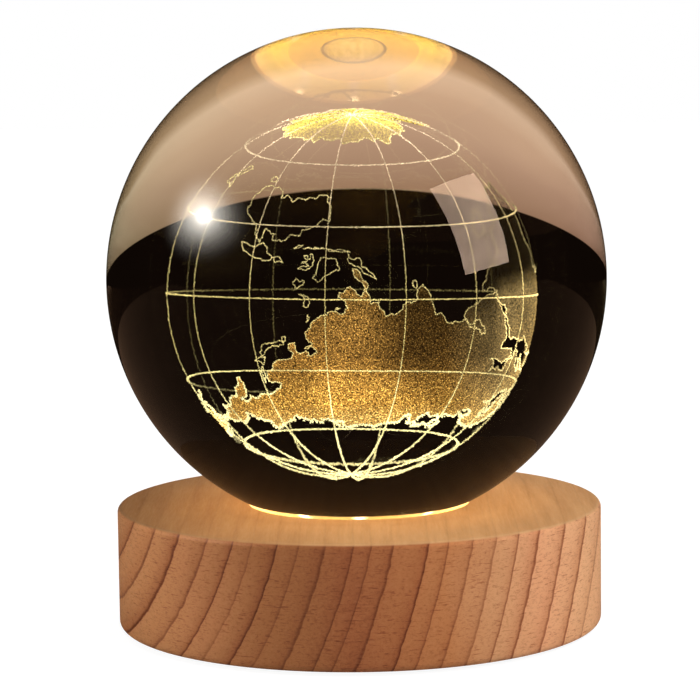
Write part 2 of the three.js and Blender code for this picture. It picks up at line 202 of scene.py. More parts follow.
def makeWood():
    top, bottom, radius = wood["top"], wood["bottom"], wood["radius"]
    topRound, bottomRound, chamfer = wood["topRounding"], wood["bottomRounding"], wood["mouthChamfer"]
    sideFoot, steps = bottom + bottomRound, wood["sideSteps"]
    straight = top - topRound - sideFoot
    outline = [
        (wood["rebate"], bottom),
        *arc(radius - bottomRound, sideFoot, bottomRound, -90, 0, 8),
        *[(radius, sideFoot + straight * i / steps) for i in range(1, steps)],
        *arc(radius - topRound, top - topRound, topRound, 0, 90, 8),
        *[(ring, top) for ring in wood["topRings"]],
        (wood["pocket"] + chamfer, top),
        (wood["pocket"] + chamfer * 0.3, top - chamfer * 0.3),
        (wood["pocket"], top - chamfer),
        (wood["pocket"], wood["seatFloor"]),
        (wood["well"], wood["seatFloor"]),
        (wood["well"], wood["ceiling"]),
        (wood["hollow"], wood["ceiling"]),
        (wood["hollow"], wood["rebateTop"]),
        (wood["rebate"], wood["rebateTop"]),
    ]
    piece = endPiece(turnOutline("turned_wood", outline, wood["sides"], hollow=True))
    half, end = wood["notchHalf"] * mm, wood["notchEnd"] * mm
    cutAway(piece, boxCutter((-half, 0, wood["notchFloor"] * mm), (half, end, wood["ceiling"] * mm)))
    cutStart, cutEnd = end - 1 * mm, (radius + 2) * mm  # past both faces of the wood
    slot = roundEndedBar("cutter", plugSlot["width"] * mm, plugSlot["height"] * mm,
                         cutStart, cutEnd, plugSlot["x"] * mm, plugSlot["z"] * mm)
    cutAway(piece, endPiece(slot))
    bpy.ops.mesh.primitive_cylinder_add(
        vertices=wood["boreSides"], radius=buttonBore["radius"] * mm, depth=cutEnd - cutStart,
        rotation=(math.pi / 2, 0, 0),
        location=(buttonBore["x"] * mm, (cutStart + cutEnd) / 2, buttonBore["z"] * mm))
    cutAway(piece, endPiece(startPiece("cutter")))
    endPiece(piece, angle=30)
    inPlace(piece, "base", "beech", "wood_base")
    return piece


# Seat ring: clear soft ring in the pocket, its upper face follows the ball
seatShape = {
    "sides": 192, "inner": 14.436, "outer": 17.436, "floor": 17.0, "faceRadius": 40.3, "faceSteps": 10,
    "rounding": 0.25,
}


def makeSeatRing():
    inner, outer, face = seatShape["inner"], seatShape["outer"], seatShape["faceRadius"]
    steps, centre = seatShape["faceSteps"], ballCentre.z / mm
    edge = seatShape["rounding"]
    top = [outer - edge - (outer - edge - inner) * i / steps for i in range(steps + 1)]
    upper = [(r, centre - math.sqrt(face ** 2 - r ** 2)) for r in top]
    rim = centre - math.sqrt(face ** 2 - outer ** 2)
    outline = [
        (inner, seatShape["floor"]), (outer, seatShape["floor"]), (outer, rim - edge),
        (outer - edge * 0.15, rim - edge * 0.45), (outer - edge * 0.5, rim - edge * 0.25), *upper,
    ]
    piece = endPiece(turnOutline("soft_ring", outline, seatShape["sides"], hollow=True), angle=40)
    inPlace(piece, "base", "clear_silicone", "seat_ring")
    return piece


# Light window: clear disc with a broken upper edge, on the cup under the ball
windowShape = {"sides": 128, "radius": 13.236, "low": 13.3, "high": 14.8, "edge": 0.25}


def makeWindow():
    radius, low, high, edge = (windowShape[k] for k in ("radius", "low", "high", "edge"))
    outline = [(radius - edge, low), (radius, low + edge), *arc(radius - edge, high - edge, edge, 0, 90, 4)]
    piece = endPiece(turnOutline("window_disc", outline, windowShape["sides"]))
    inPlace(piece, "base", "clear_plastic", "light_window")
    return piece


# Bottom cover: moulded disc with a broken edge, a shallow groove and sunk places for the screws
coverShape = {
    "sides": 128, "radius": 33.70, "low": 1.0, "high": 2.6, "edge": 0.35, "groove": (29.6, 30.4),
    "depth": 0.25, "screwRing": 21.567, "sinkRadius": 2.6, "holeRadius": 1.4, "sinkTop": 1.9,
    "holeSides": 40,
}


def makeCover():
    low, high, edge, radius = (coverShape[k] for k in ("low", "high", "edge", "radius"))
    inner, outer = coverShape["groove"]
    depth = coverShape["depth"]
    outline = [
        (inner, low), (inner + 0.1, low + depth), (outer - 0.1, low + depth), (outer, low),
        *arc(radius - edge, low + edge, edge, -90, 0, 4), (radius, high - 0.2), (radius - 0.2, high),
    ]
    piece = endPiece(turnOutline("moulded_cover", outline, coverShape["sides"]))
    for x, y in coverScrewPlaces():
        for cutRadius, cutLow, cutHigh in (
                (coverShape["sinkRadius"], low - 1, coverShape["sinkTop"]),
                (coverShape["holeRadius"], low, high + 1)):
            bpy.ops.mesh.primitive_cylinder_add(
                vertices=coverShape["holeSides"], radius=cutRadius * mm, depth=(cutHigh - cutLow) * mm,
                location=(x * mm, y * mm, (cutHigh + cutLow) / 2 * mm))
            cutAway(piece, endPiece(startPiece("cutter")))
    endPiece(piece, angle=30)
    for face in piece.data.polygons:
        face.use_smooth = abs(face.normal.z) < 0.999  # the level faces stay flat round the screws
    inPlace(piece, "base", "black_plastic", "bottom_cover")
    return piece


def coverScrewPlaces():
    ring = coverShape["screwRing"]
    return [(ring, ring), (-ring, ring), (-ring, -ring), (ring, -ring)]


# Cover screw: pan head with a cross recess, shank upwards
screwShape = {
    "sides": 32, "head": 2.3, "seat": 1.9, "low": 1.0, "shank": 1.1, "length": 7.0,
    "taperFrom": 5.6, "recess": (2.9, 0.66, 0.9), "recessFloor": 0.72, "firstTurn": 0.5, "nextTurn": 1.1,
}


def makeCoverScrews():
    head, seat, low, shank = (screwShape[k] for k in ("head", "seat", "low", "shank"))
    tip, taper = seat + screwShape["length"], seat + screwShape["taperFrom"]
    outline = [
        (0.9, low), (1.55, low + 0.05), (1.95, low + 0.16), (2.18, low + 0.32), (head, low + 0.52),
        (head, seat - 0.05), (head - 0.05, seat), (shank, seat), (shank, taper), (0.25, tip - 0.1),
        (0.05, tip),
    ]
    first = endPiece(turnOutline("screw_1", outline, screwShape["sides"]))
    long, wide, deep = screwShape["recess"]
    narrowing = screwShape["recessFloor"]
    for size in ((long, wide, deep), (wide, long, deep)):
        bpy.ops.mesh.primitive_cube_add(size=1 * mm, scale=size, location=(0, 0, low * mm))
        cutter = startPiece("cutter")
        pick(cutter, "FACE", lambda f: f.normal.z > 0.9)
        bpy.ops.transform.resize(value=(narrowing, narrowing, 1))
        cutAway(first, endPiece(cutter))
    endPiece(first, angle=30)
    screws = []
    for i, (x, y) in enumerate(coverScrewPlaces()):
        turn = screwShape["firstTurn"] + screwShape["nextTurn"] * i
        piece = copyTo(first, f"screw_{i + 1}", (x * mm, y * mm, 0), turn)
        inPlace(piece, "base", "steel", f"cover_screw_{i + 1}")
        screws.append(piece)
    bpy.data.objects.remove(first)
    return screws


# Foot: flat rubber pad with a rounded edge and a shallow round recess in its underside
footShape = {"sides": 48, "radius": 4.0, "edge": 0.4, "top": 1.0, "ring": 24.003, "recess": 2.6}


def makeFeet():
    radius, edge, recess = footShape["radius"], footShape["edge"], footShape["recess"]
    outline = [
        (0.6, 0.18), (recess - 0.2, 0.18), (recess, 0.0), *arc(radius - edge, edge, edge, -90, 0, 5),
        (radius, footShape["top"]),
    ]
    first = endPiece(turnOutline("rubber_foot", outline, footShape["sides"]))
    feet = []
    for i in range(4):
        turn = i * math.pi / 2
        shift = (footShape["ring"] * mm * math.cos(turn), footShape["ring"] * mm * math.sin(turn), 0)
        piece = copyTo(first, f"rubber_foot_{i + 1}", shift, turn)
        inPlace(piece, "base", "black_rubber", f"foot_{i + 1}")
        feet.append(piece)
    bpy.data.objects.remove(first)
    return feet


# Button: dished head, neck and the bar behind the wood that holds it in
buttonShape = {
    "sides": 64, "x": 7.4, "z": 9.6, "radius": 3.2, "start": 31.263, "face": 39.29, "edge": 0.5,
    "neck": 1.5, "bar": (9.0, 1.0, 3.0), "barEdge": 0.15,
}


def makeButton():
    x, z, radius, edge = (buttonShape[k] for k in ("x", "z", "radius", "edge"))
    start, face, neck = buttonShape["start"], buttonShape["face"], buttonShape["neck"]
    barStart = buttonLow.y / mm
    barEnd = barStart + buttonShape["bar"][1]
    outline = [
        (neck, 0.0), (neck, start - barEnd), (radius - 0.1, start - barEnd), (radius, start - barEnd + 0.1),
        *arc(radius - edge, face - edge - barEnd, edge, 0, 90, 6),
        (radius - edge - 0.5, face - barEnd - 0.06), (radius - edge - 1.2, face - barEnd - 0.2),
        (0.7, face - barEnd - 0.32), (0.05, face - barEnd - 0.34),
    ]
    piece = endPiece(turnOutline("push_button", outline, buttonShape["sides"]))
    outwards = Matrix.Rotation(-math.pi / 2, 4, "X")  # from up to back
    piece.data.transform(Matrix.Translation((x * mm, barEnd * mm, z * mm)) @ outwards)
    place = (x * mm, (barStart + barEnd) / 2 * mm, z * mm)
    bpy.ops.mesh.primitive_cube_add(size=1, location=place, scale=[side * mm for side in buttonShape["bar"]])
    bar = startPiece("bar")
    bpy.ops.mesh.bevel(offset=buttonShape["barEdge"] * mm, segments=2)
    endPiece(bar)
    joinTo(piece, bar)
    inPlace(piece, "button", "black_plastic", "power_button")
    return piece


# Inlet: drawn steel shell, open to the back, and the plastic tongue in it
inletShape = {
    "wall": 0.3, "x": -7.0, "z": 9.67, "sides": 40, "insulator": 2.0,
    "tongueWidth": 6.7, "tongueThickness": 0.7, "lip": 0.1, "tongueEdge": 0.15,
}


def makeInlet():
    x, z, wall = inletShape["x"] * mm, inletShape["z"] * mm, inletShape["wall"] * mm
    width, height = shellHigh.x - shellLow.x, shellHigh.z - shellLow.z
    rear, mouth = shellLow.y, shellHigh.y
    sides = inletShape["sides"]
    shell = roundEndedBar("socket_shell", width, height, rear, mouth, x, z, sides)
    pick(shell, "FACE", lambda f: f.normal.y > 0.9)
    bpy.ops.mesh.inset(thickness=wall)
    bpy.ops.mesh.extrude_region_move(TRANSFORM_OT_translate={"value": (0, -(mouth - rear - wall), 0)})
    pick(shell, "EDGE", lambda e: all(abs(v.co.y - mouth) < 0.01 * mm for v in e.verts)
         and len(e.link_faces) == 2 and e.calc_face_angle() > 0.8)
    bpy.ops.mesh.bevel(offset=inletShape["lip"] * mm, segments=3)
    endPiece(shell)
    inPlace(shell, "base", "steel", "inlet_shell")
    size = tongueHigh - tongueLow
    floorEnd = tongueLow.y + inletShape["insulator"] * mm
    tongue = endPiece(roundEndedBar("socket_tongue", size.x, size.z, tongueLow.y, floorEnd, x, z, sides))
    place = (x, (tongueLow.y + tongueHigh.y) / 2 + 0.5 * mm, z)  # the blade starts 1 mm into the insulator
    bladeSize = (inletShape["tongueWidth"] * mm, size.y - 1 * mm, inletShape["tongueThickness"] * mm)
    bpy.ops.mesh.primitive_cube_add(size=1, location=place, scale=bladeSize)
    blade = startPiece("blade")
    pick(blade, "EDGE", lambda e: all(v.co.y > place[1] for v in e.verts))
    bpy.ops.mesh.bevel(offset=inletShape["tongueEdge"] * mm, segments=2)
    joinTo(tongue, endPiece(blade))
    inPlace(tongue, "base", "black_plastic", "inlet_tongue")
    return shell, tongue


# Engraving: micro-cracks in the glass, drawn as tiny four-sided flakes on a globe that stands on its north
# pole. Longitudes are counted from the one that faces the front.
globe = {
    "radius": 19.95, "shift": (-0.56, -2.2, -1.616), "leanX": -2.31, "leanY": 0.91, "front": 104.0,
    "meridianOffset": 10.25, "meridianStep": 30, "parallels": (-54, -27, 0, 27, 54),
    "lineStep": 0.075, "spread": 0.03, "flake": (0.09, 0.16), "iceTurn": 50,
    "fillFlake": (0.10, 0.17), "fillPerSquareMm": 34, "fillSpread": 0.05, "northEnd": 53.5,
    "fadeFrom": 50, "fadeTo": 34, "fadePower": 1.5, "fadeEast": [96, 122], "lineRise": 0.10,
    "wiggles": 3, "wiggleShare": 0.13, "wiggleFrom": 0.7,
    # thickness, growth and scatter towards the lit foot
    "meridianFlakes": (0.95, 0.9), "ringFlakes": (1.3, 0.6), "coastFlakes": (1.05, 1.6, 4.0),
    "footFrom": 25, "footSpan": 35, "sheet": 0.06, "sheetStep": 2.0, "iceRings": 9, "iceSides": 180,
}
# The engraved map draws the land nearer to the south than it lies: true latitudes and the ones drawn
trueLatitudes = [-90, -69, -38, -11, 0, 8.5, 20, 31.5, 42, 55, 72, 84, 90]
drawnLatitudes = [-90, -69, -42, -20.5, -12.5, -5, 4, 14, 22, 32.5, 49.5, 55, 60]
dice = np.random.default_rng(7)

filledLands = {
    "eurasia": [
        (-5.6, 36), (-9, 37), (-9.3, 38.8), (-8.8, 43.2), (-1.8, 43.4), (-1.2, 46), (-4.5, 48.4),
        (-1.5, 49.7), (1.6, 50.9), (4, 52), (8.5, 53.6), (8.3, 57), (10.6, 57.7), (10.9, 56.2),
        (9.9, 54.8), (14, 54), (18.5, 54.7), (21, 55.5), (21.5, 57.5), (24, 57.2), (23.5, 59.2),
        (28, 59.7), (29.8, 60), (25, 60.3), (22.5, 60), (21.3, 61.5), (21.5, 63.2), (25.3, 65), (22, 65.7),
        (17.5, 62.3), (17, 60.8), (18.8, 59.9), (16.5, 57.5), (14.3, 55.6), (12.8, 55.6), (11.2, 58.9),
        (8, 58.1), (5.3, 59.5), (5, 61.9), (10.5, 64.3), (14.5, 68), (20, 70), (25.8, 71.1), (31, 70.3),
        (40.5, 67.7), (41, 66.5), (34.5, 66.7), (34.8, 64.5), (38, 64), (40.5, 64.6), (43.9, 66),
        (44, 68.3), (48, 67.6), (54, 68.5), (60, 68.8), (66.8, 68.9), (68.5, 71.5), (72.8, 72.8), (74, 68),
        (78, 72.3), (81, 73.6), (87, 75), (98, 76.2), (104.3, 77.7), (113.5, 75.8), (109, 74), (113, 73.6),
        (127, 73.5), (130, 71), (140, 72.5), (152, 71), (160, 69.7), (170, 69.8), (178, 69.3), (185, 67.3),
        (190.2, 66), (180, 65), (177.5, 64.7), (179.5, 62.3), (170.3, 60), (164.8, 59.8), (163, 58),
        (162, 56), (156.8, 51), (155.6, 55), (155.8, 57), (161.9, 60.5), (160, 61.8), (154.8, 59.4),
        (149, 59.5), (142, 59.2), (135.5, 54.7), (141.3, 53.2), (140.5, 48.5), (135.5, 43.8), (131, 42.7),
        (127.6, 39.8), (129.4, 37), (129, 35.2), (126.5, 34.4), (126.6, 37.5), (125, 39.6), (121.5, 38.9),
        (121.8, 40.9), (117.8, 39), (119, 37.3), (122.6, 37.2), (119.5, 35), (121.9, 31.7), (121.8, 29),
        (119.5, 25.5), (116.6, 23), (113.5, 22.2), (110, 20.5), (108, 21.5), (105.8, 18.9), (109.3, 13.5),
        (109, 11.5), (105, 8.7), (102.5, 12.2), (100.8, 13.5), (99.3, 9.3), (100.5, 7.2), (103.4, 4.5),
        (104.2, 1.4), (103.5, 1.3), (101.3, 2.9), (100.3, 6), (98.3, 8.2), (98.6, 12), (97.6, 16.5),
        (94.3, 16), (94, 19), (91.8, 22.4), (88.5, 21.7), (86.8, 20.6), (82.3, 16.6), (80.1, 15),
        (80.2, 13), (79.8, 10.3), (77.5, 8.1), (76.2, 10), (74.4, 14.8), (72.8, 19.2), (72.6, 21.5),
        (70.3, 21), (69, 22.3), (68.2, 23.7), (66.7, 25.3), (61.6, 25.1), (57.3, 25.7), (56.4, 27.1),
        (51.5, 27.9), (50, 30.2), (48, 30), (48.6, 28), (50.2, 26.5), (51.5, 24.6), (54, 24.1),
        (56.3, 26.2), (59.8, 22.5), (57.8, 19), (55.2, 17.5), (52.2, 15.7), (45, 12.8), (43.3, 12.8),
        (42.7, 16.5), (39.1, 21.2), (35, 28), (34.9, 29.5), (34.3, 31.3), (35.9, 34.9), (36, 36.5),
        (32.3, 36.1), (30.5, 36.6), (27.4, 37), (26.3, 39.5), (29.2, 41.2), (35, 42), (38, 41),
        (41.5, 41.5), (37.3, 44.8), (39.2, 47.2), (35, 46.3), (33.6, 44.5), (32.6, 46), (30.6, 46.3),
        (28.6, 43.8), (28, 41.9), (26.2, 40.7), (23.8, 40), (24, 38), (22.8, 36.6), (21.3, 37.6),
        (19.4, 41.6), (15.2, 44.2), (13.6, 45.7), (12.4, 44.5), (16, 41.8), (18.4, 40.1), (16.8, 40.5),
        (16.2, 38), (15.7, 40), (12.4, 41.7), (10.3, 43.9), (7.5, 43.8), (4.4, 43.4), (3.1, 42.4),
        (-0.3, 39.5), (-0.6, 37.7), (-2.1, 36.7),
    ],
    "africa": [
        (-5.9, 35.8), (-1.8, 35.1), (3.5, 36.9), (10.2, 37.2), (10.6, 34.2), (15.3, 32.3), (19, 30.3),
        (20.1, 32.3), (23, 32.5), (29, 30.9), (32.4, 31.2), (32.6, 29.8), (35.5, 24), (37.2, 21),
        (38.6, 18), (43.3, 11.5), (51.2, 11.9), (50.8, 9.5), (47.9, 4.4), (42.5, -1), (39.3, -4.8),
        (40.6, -10.7), (40.6, -15), (35, -19.9), (35.5, -24), (32.8, -26), (31, -29.6), (27, -33.5),
        (20, -34.8), (18.3, -33.9), (15.2, -27), (12.5, -18.5), (13.7, -11), (12.2, -5.8), (8.8, -1),
        (9.8, 3.2), (6, 4.3), (4.3, 6.3), (-2, 4.8), (-7.6, 4.4), (-13.2, 8.9), (-17, 14.7), (-16.3, 19),
        (-17, 21.4), (-13, 27.7), (-9.7, 31), (-6.8, 34),
    ],
    "northAmerica": [
        (-168, 65.6), (-162, 66.5), (-166.5, 68.4), (-156.5, 71.3), (-141, 69.6), (-127, 70), (-115, 68.5),
        (-108, 68), (-95, 68), (-94, 72), (-85, 69.5), (-81, 68.5), (-87, 65), (-94, 61), (-92.5, 57),
        (-82.5, 55.2), (-80, 51.5), (-79, 54.5), (-77.5, 62.4), (-71, 61), (-65, 58.8), (-60, 55),
        (-56, 52), (-66, 50), (-64.5, 48.5), (-61, 46), (-66, 43.7), (-70.5, 43), (-70, 41.7), (-74, 40.5),
        (-75.5, 35.3), (-81, 31.5), (-80.2, 25.3), (-82.8, 28), (-84, 30), (-89.5, 30), (-94, 29.5),
        (-97.4, 27), (-97.3, 22), (-95, 18.5), (-91.5, 18.5), (-90.3, 21), (-87, 21.4), (-88.3, 16),
        (-83.2, 15), (-83.5, 11), (-79.5, 9.5), (-77.3, 8.6), (-78.3, 7.8), (-80.4, 7.5), (-85.5, 10),
        (-91.5, 14), (-96, 15.8), (-105.5, 20), (-106, 23), (-113, 31), (-114.7, 31), (-109.5, 23),
        (-112, 26), (-115, 29), (-117.2, 32.6), (-120.6, 34.5), (-124.3, 40.3), (-124, 46), (-123, 48.9),
        (-130, 55), (-137.5, 58.9), (-147, 60.9), (-153, 59), (-158, 56), (-164.5, 54.6), (-157.5, 58.7),
        (-162, 59), (-165, 61.5), (-161, 64.5),
    ],
}
# Southern ice: the land is all that lies south of this ring
southernIce = [
    (-60, -63.5), (-56, -65), (-61, -70), (-62, -74.5), (-40, -78), (-27, -76), (-12, -72), (0, -70),
    (15, -69.5), (30, -69), (40, -69), (50, -66.5), (57, -67), (70, -69), (80, -67.5), (95, -66.5),
    (110, -66.3), (130, -66), (145, -67), (160, -70), (170, -72), (165, -77.5), (180, -78.3), (200, -78),
    (210, -77), (225, -74.5), (245, -74), (260, -73), (275, -73), (285, -71.5), (292, -68.5), (298, -64.5),
]
outlinedLands = {
    "southAmerica": [
        (-77.3, 8.6), (-71.6, 12.3), (-62, 10.6), (-57, 6), (-51.3, 4.2), (-50, 0), (-44, -2.5),
        (-35.2, -5.3), (-35, -9), (-39, -13.5), (-39.5, -18), (-41.8, -22.6), (-48.5, -26), (-53.5, -34),
        (-58, -34.5), (-57.5, -38), (-62, -39), (-65, -43), (-65.8, -47.3), (-69, -51), (-68.3, -54.8),
        (-73.5, -52.5), (-75.3, -47), (-73.3, -40), (-71.5, -30), (-70.2, -19), (-76.2, -14), (-79.8, -7),
        (-81.3, -4.5), (-79.8, -2.5), (-80, 0.5), (-77.5, 4), (-77.8, 7),
    ],
    "australia": [
        (114, -22), (113.5, -26.5), (115.7, -32), (115, -34.3), (118, -35), (124, -33.8), (131.2, -31.5),
        (135.3, -34.6), (138, -32.8), (138.2, -35.5), (141, -38.2), (146.3, -39), (149.9, -37.4),
        (153.2, -31), (153.2, -25.5), (149.5, -22), (146, -19), (145.4, -15), (142.5, -10.8), (141.6, -14),
        (140.8, -17.5), (135.6, -15), (136.8, -12.2), (132.6, -11.5), (129.5, -15), (125.5, -14.4),
        (122.3, -18),
    ],
    "newGuinea": [
        (131, -0.8), (134.2, -0.9), (135, -3.4), (138, -1.7), (141, -2.6), (144.6, -3.9), (147.8, -6),
        (150.8, -10.5), (147.5, -9.5), (143.5, -8.5), (143, -9.3), (138.3, -8.3), (138, -5.5), (133, -4),
        (132, -2.8),
    ],
    "borneo": [
        (109, 1.5), (111.3, 2.5), (115, 5), (117, 7), (119, 5.2), (117.6, 2), (116.3, -3.8), (114.5, -4),
        (110.2, -2.9),
    ],
    "sumatra": [(95.3, 5.6), (98.5, 3.8), (103.5, 0), (106, -3.2), (105.8, -5.8), (102, -4), (98.7, 1.8)],
    "java": [(105.2, -6.8), (108.5, -6.7), (112.7, -7), (114.4, -8.6), (110, -8.2), (106.5, -7.4)],
    "bali": [(115, -8.6), (116.6, -8.3), (116, -9.1)],
    "sumbawa": [(117.2, -8.6), (119.3, -8.3), (118.6, -9.2)],
    "flores": [(120, -8.5), (123.2, -8.3), (121.2, -9.1)],
    "timor": [(123.8, -10), (127.2, -8.4), (125, -10.2)],
    "sulawesi": [
        (119.5, -5.5), (118.9, -2.8), (120, 0.9), (125, 1.5), (120.5, 0.4), (121.5, -1), (123.3, -0.9),
        (121.2, -2.2), (122.8, -4.8), (121.5, -4.6), (120.4, -2.9), (120.3, -5.5),
    ],
    "luzon": [(120.6, 18.5), (122.2, 18.4), (121.6, 15), (124, 12.7), (120.6, 13.8), (119.9, 16)],
    "mindanao": [(125.4, 9.8), (126.5, 7.5), (125.4, 5.6), (122, 7), (123.5, 8.6)],
    "honshu": [
        (130.9, 34), (135.5, 34.6), (138.8, 34.7), (140.8, 35.7), (142, 39.5), (141.3, 41.4), (140, 40),
        (138.8, 37.8), (136, 35.8), (132.6, 35.5),
    ],
    "hokkaido": [(140, 41.5), (141.8, 45.4), (145.3, 43.3), (143.2, 42)],
    "kyushu": [(130, 33.4), (131.7, 33.3), (131.3, 31.4), (130.2, 31.3)],
    "sakhalin": [(142, 46), (143.6, 49.3), (143, 54.3), (142, 51)],
    "taiwan": [(120.1, 23), (121.5, 25.2), (120.9, 22)],
    "hainan": [(108.7, 19), (110.5, 20), (110, 18.4)],
    "sriLanka": [(79.9, 8), (80.4, 9.6), (81.8, 7), (80.5, 6)],
    "newZealandNorth": [(172.8, -34.5), (175.5, -36.6), (178.4, -37.7), (175.3, -41.5), (173.9, -39.3)],
    "newZealandSouth": [
        (172.8, -40.6), (174.2, -41.8), (170.7, -45.9), (168.5, -46.6), (166.6, -45.8), (170, -43),
    ],
    "tasmania": [(144.7, -40.8), (148.3, -40.9), (147.9, -43.2), (146, -43.5)],
    "greenland": [
        (-73, 78.2), (-60, 82), (-32, 83.5), (-20, 80), (-19, 75), (-25, 70.5), (-39.5, 65.5), (-43.5, 60),
        (-51, 64), (-54, 69.5), (-58, 75.2),
    ],
    "madagascar": [(49.3, -12), (50.4, -15.8), (47.1, -25), (44, -25), (43.4, -21.5), (44.4, -16.3)],
    "britain": [
        (-5.5, 50.1), (1.3, 51.2), (0.3, 53), (-2, 55.8), (-1.8, 57.5), (-3.3, 58.6), (-5.8, 56.5),
        (-3.1, 54.3), (-4.6, 53), (-5.2, 51.8),
    ],
    "ireland": [(-10, 52), (-6.3, 52.2), (-5.6, 54.6), (-8.3, 55.2), (-10, 54)],
    "iceland": [(-24, 65.5), (-22.5, 66.4), (-16, 66.5), (-13.6, 65), (-18.7, 63.4), (-22.7, 63.9)],
    "novayaZemlya": [(52, 71), (57, 70.6), (69, 76.8), (58, 75.5)],
    "cuba": [(-84.5, 21.9), (-80, 23), (-74.3, 20.2), (-77.5, 19.9)],
}


def onGlobe(longitudes, latitudes, radius):  # degrees to places in mm, the north pole down
    turn = np.radians(longitudes)
    rise = np.radians(latitudes)
    flat = np.stack([-np.cos(rise) * np.sin(turn), -np.cos(rise) * np.cos(turn), -np.sin(rise)], axis=-1)
    leanY, leanX = [Matrix.Rotation(math.radians(globe["lean" + axis]), 3, axis) for axis in "YX"]
    centre = np.array(globe["shift"]) + np.array(ballCentre) / mm
    return flat * np.asarray(radius)[..., None] @ np.array(leanY @ leanX).T + centre


# Places at an even step along a line of (longitude, latitude) corners on the globe
def walk(corners, closed=True):
    corners = np.array(corners + corners[:1] if closed else corners, dtype=float)
    places = onGlobe(corners[:, 0], corners[:, 1], np.full(len(corners), globe["radius"]))
    lengths = np.linalg.norm(np.diff(places, axis=0), axis=1)
    reach = np.concatenate([[0], np.cumsum(lengths)])
    steps = np.arange(0, reach[-1], globe["lineStep"])
    return np.stack([np.interp(steps, reach, corners[:, 0]), np.interp(steps, reach, corners[:, 1])], axis=-1)


# Adds wiggles between the corners of a coast, smaller each time
def roughen(corners, levels, closed=True):
    corners = [np.array(c, dtype=float) for c in corners]
    for _ in range(levels):
        finer = []
        nextOnes = corners[1:] + corners[:1] if closed else corners[1:]
        for start, end in zip(corners, nextOnes):
            step = end - start
            isLong = float(np.hypot(*step)) > globe["wiggleFrom"]
            offset = np.array([-step[1], step[0]]) * dice.normal(0, globe["wiggleShare"]) if isLong else 0
            finer += [start, (start + end) / 2 + offset]
        corners = finer if closed else finer + [corners[-1]]
    return [tuple(c) for c in corners]


def drawn(corners):  # true places to the map's own: longitudes from the front, latitudes as the map has them
    latitudes = np.interp([lat for _, lat in corners], trueLatitudes, drawnLatitudes).tolist()
    return [(lon - globe["front"], latitude) for (lon, _), latitude in zip(corners, latitudes)]


def inside(corners, longitudes, latitudes):  # even and odd crossings of a line to the east
    found = np.zeros(len(longitudes), dtype=bool)
    for (x1, y1), (x2, y2) in zip(corners, corners[1:] + corners[:1]):
        if y1 == y2:
            continue
        crosses = (latitudes < y1) != (latitudes < y2)
        found ^= crosses & (longitudes < x1 + (latitudes - y1) / (y2 - y1) * (x2 - x1))
    return found


# A piece of the engraving, in mm, riding in the ball
def engraved(name, places, faces):
    mesh = bpy.data.meshes.new(name)
    mesh.from_pydata((places * mm).tolist(), [], faces)
    piece = bpy.data.objects.new(name, mesh)
    bpy.context.collection.objects.link(piece)
    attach(piece, "ball")
    return piece


# One mesh of flakes: each is a tetrahedron of its own size and turn
def flakes(name, places, sizes):
    count = len(places)
    corners = np.array([(1, 1, 1), (1, -1, -1), (-1, 1, -1), (-1, -1, 1)]) / math.sqrt(8)
    turns = dice.normal(size=(count, 4))
    turns /= np.linalg.norm(turns, axis=1, keepdims=True)
    w, x, y, z = turns.T
    spins = np.stack([
        1 - 2 * (y * y + z * z), 2 * (x * y - w * z), 2 * (x * z + w * y),
        2 * (x * y + w * z), 1 - 2 * (x * x + z * z), 2 * (y * z - w * x),
        2 * (x * z - w * y), 2 * (y * z + w * x), 1 - 2 * (x * x + y * y),
    ], axis=-1).reshape(count, 3, 3)
    points = places[:, None, :] + np.einsum("nij,kj->nki", spins, corners) * sizes[:, None, None]
    faces = (np.arange(count) * 4)[:, None, None] + np.array([(0, 1, 2), (0, 3, 1), (0, 2, 3), (1, 3, 2)])
    print(name, count, "flakes")
    return engraved(name, points.reshape(-1, 3), faces.reshape(-1, 3).tolist())


# Flakes along lines: they scatter a little round the line, and near the lit foot they are larger
def lineFlakes(name, lines, thickness, footGrowth, footScatter=0.0):
    points = np.concatenate(lines)
    radius = globe["radius"] + globe["lineRise"] + dice.normal(0, globe["spread"], len(points))
    foot = np.clip((points[:, 1] - globe["footFrom"]) / globe["footSpan"], 0, 1)
    scatter = globe["spread"] * (1 + footScatter * foot[:, None] ** 2)
    places = onGlobe(points[:, 0], points[:, 1], radius) + dice.normal(0, 1, (len(points), 3)) * scatter
    low, high = globe["flake"]
    return flakes(name, places, dice.uniform(low, high, len(points)) * thickness * (1 + footGrowth * foot))


# A thin curved sheet between the flakes, for the haze of cracks too fine to model one by one
def landSheet(name, corners):
    step = globe["sheetStep"]
    border = [Vector((lon, min(lat, globe["northEnd"]))) for lon, lat in corners]
    lons, lats = [c[0] for c in border], [c[1] for c in border]
    columns, rows = np.arange(min(lons), max(lons), step), np.arange(min(lats), max(lats), step)
    grid = [(lon, lat) for lon in columns for lat in rows]
    within = inside(corners, np.array([g[0] for g in grid]), np.array([g[1] for g in grid]))
    middles = [Vector(g) for g, ok in zip(grid, within) if ok and g[1] < globe["northEnd"]]
    edges = [(i, (i + 1) % len(border)) for i in range(len(border))]
    flat, _, faces, _, _, _ = delaunay_2d_cdt(border + middles, edges, [list(range(len(border)))], 1, 1e-5)
    return sheetOf(name, np.array([v.x for v in flat]), np.array([v.y for v in flat]), faces)


def iceEdge(border, longitudes):  # the latitude that the southern ice ends at
    west = min(lon for lon, _ in border)
    edgeLons, edgeLats = np.array(sorted(border)).T
    return np.interp((longitudes - west) % 360 + west, edgeLons, edgeLats)


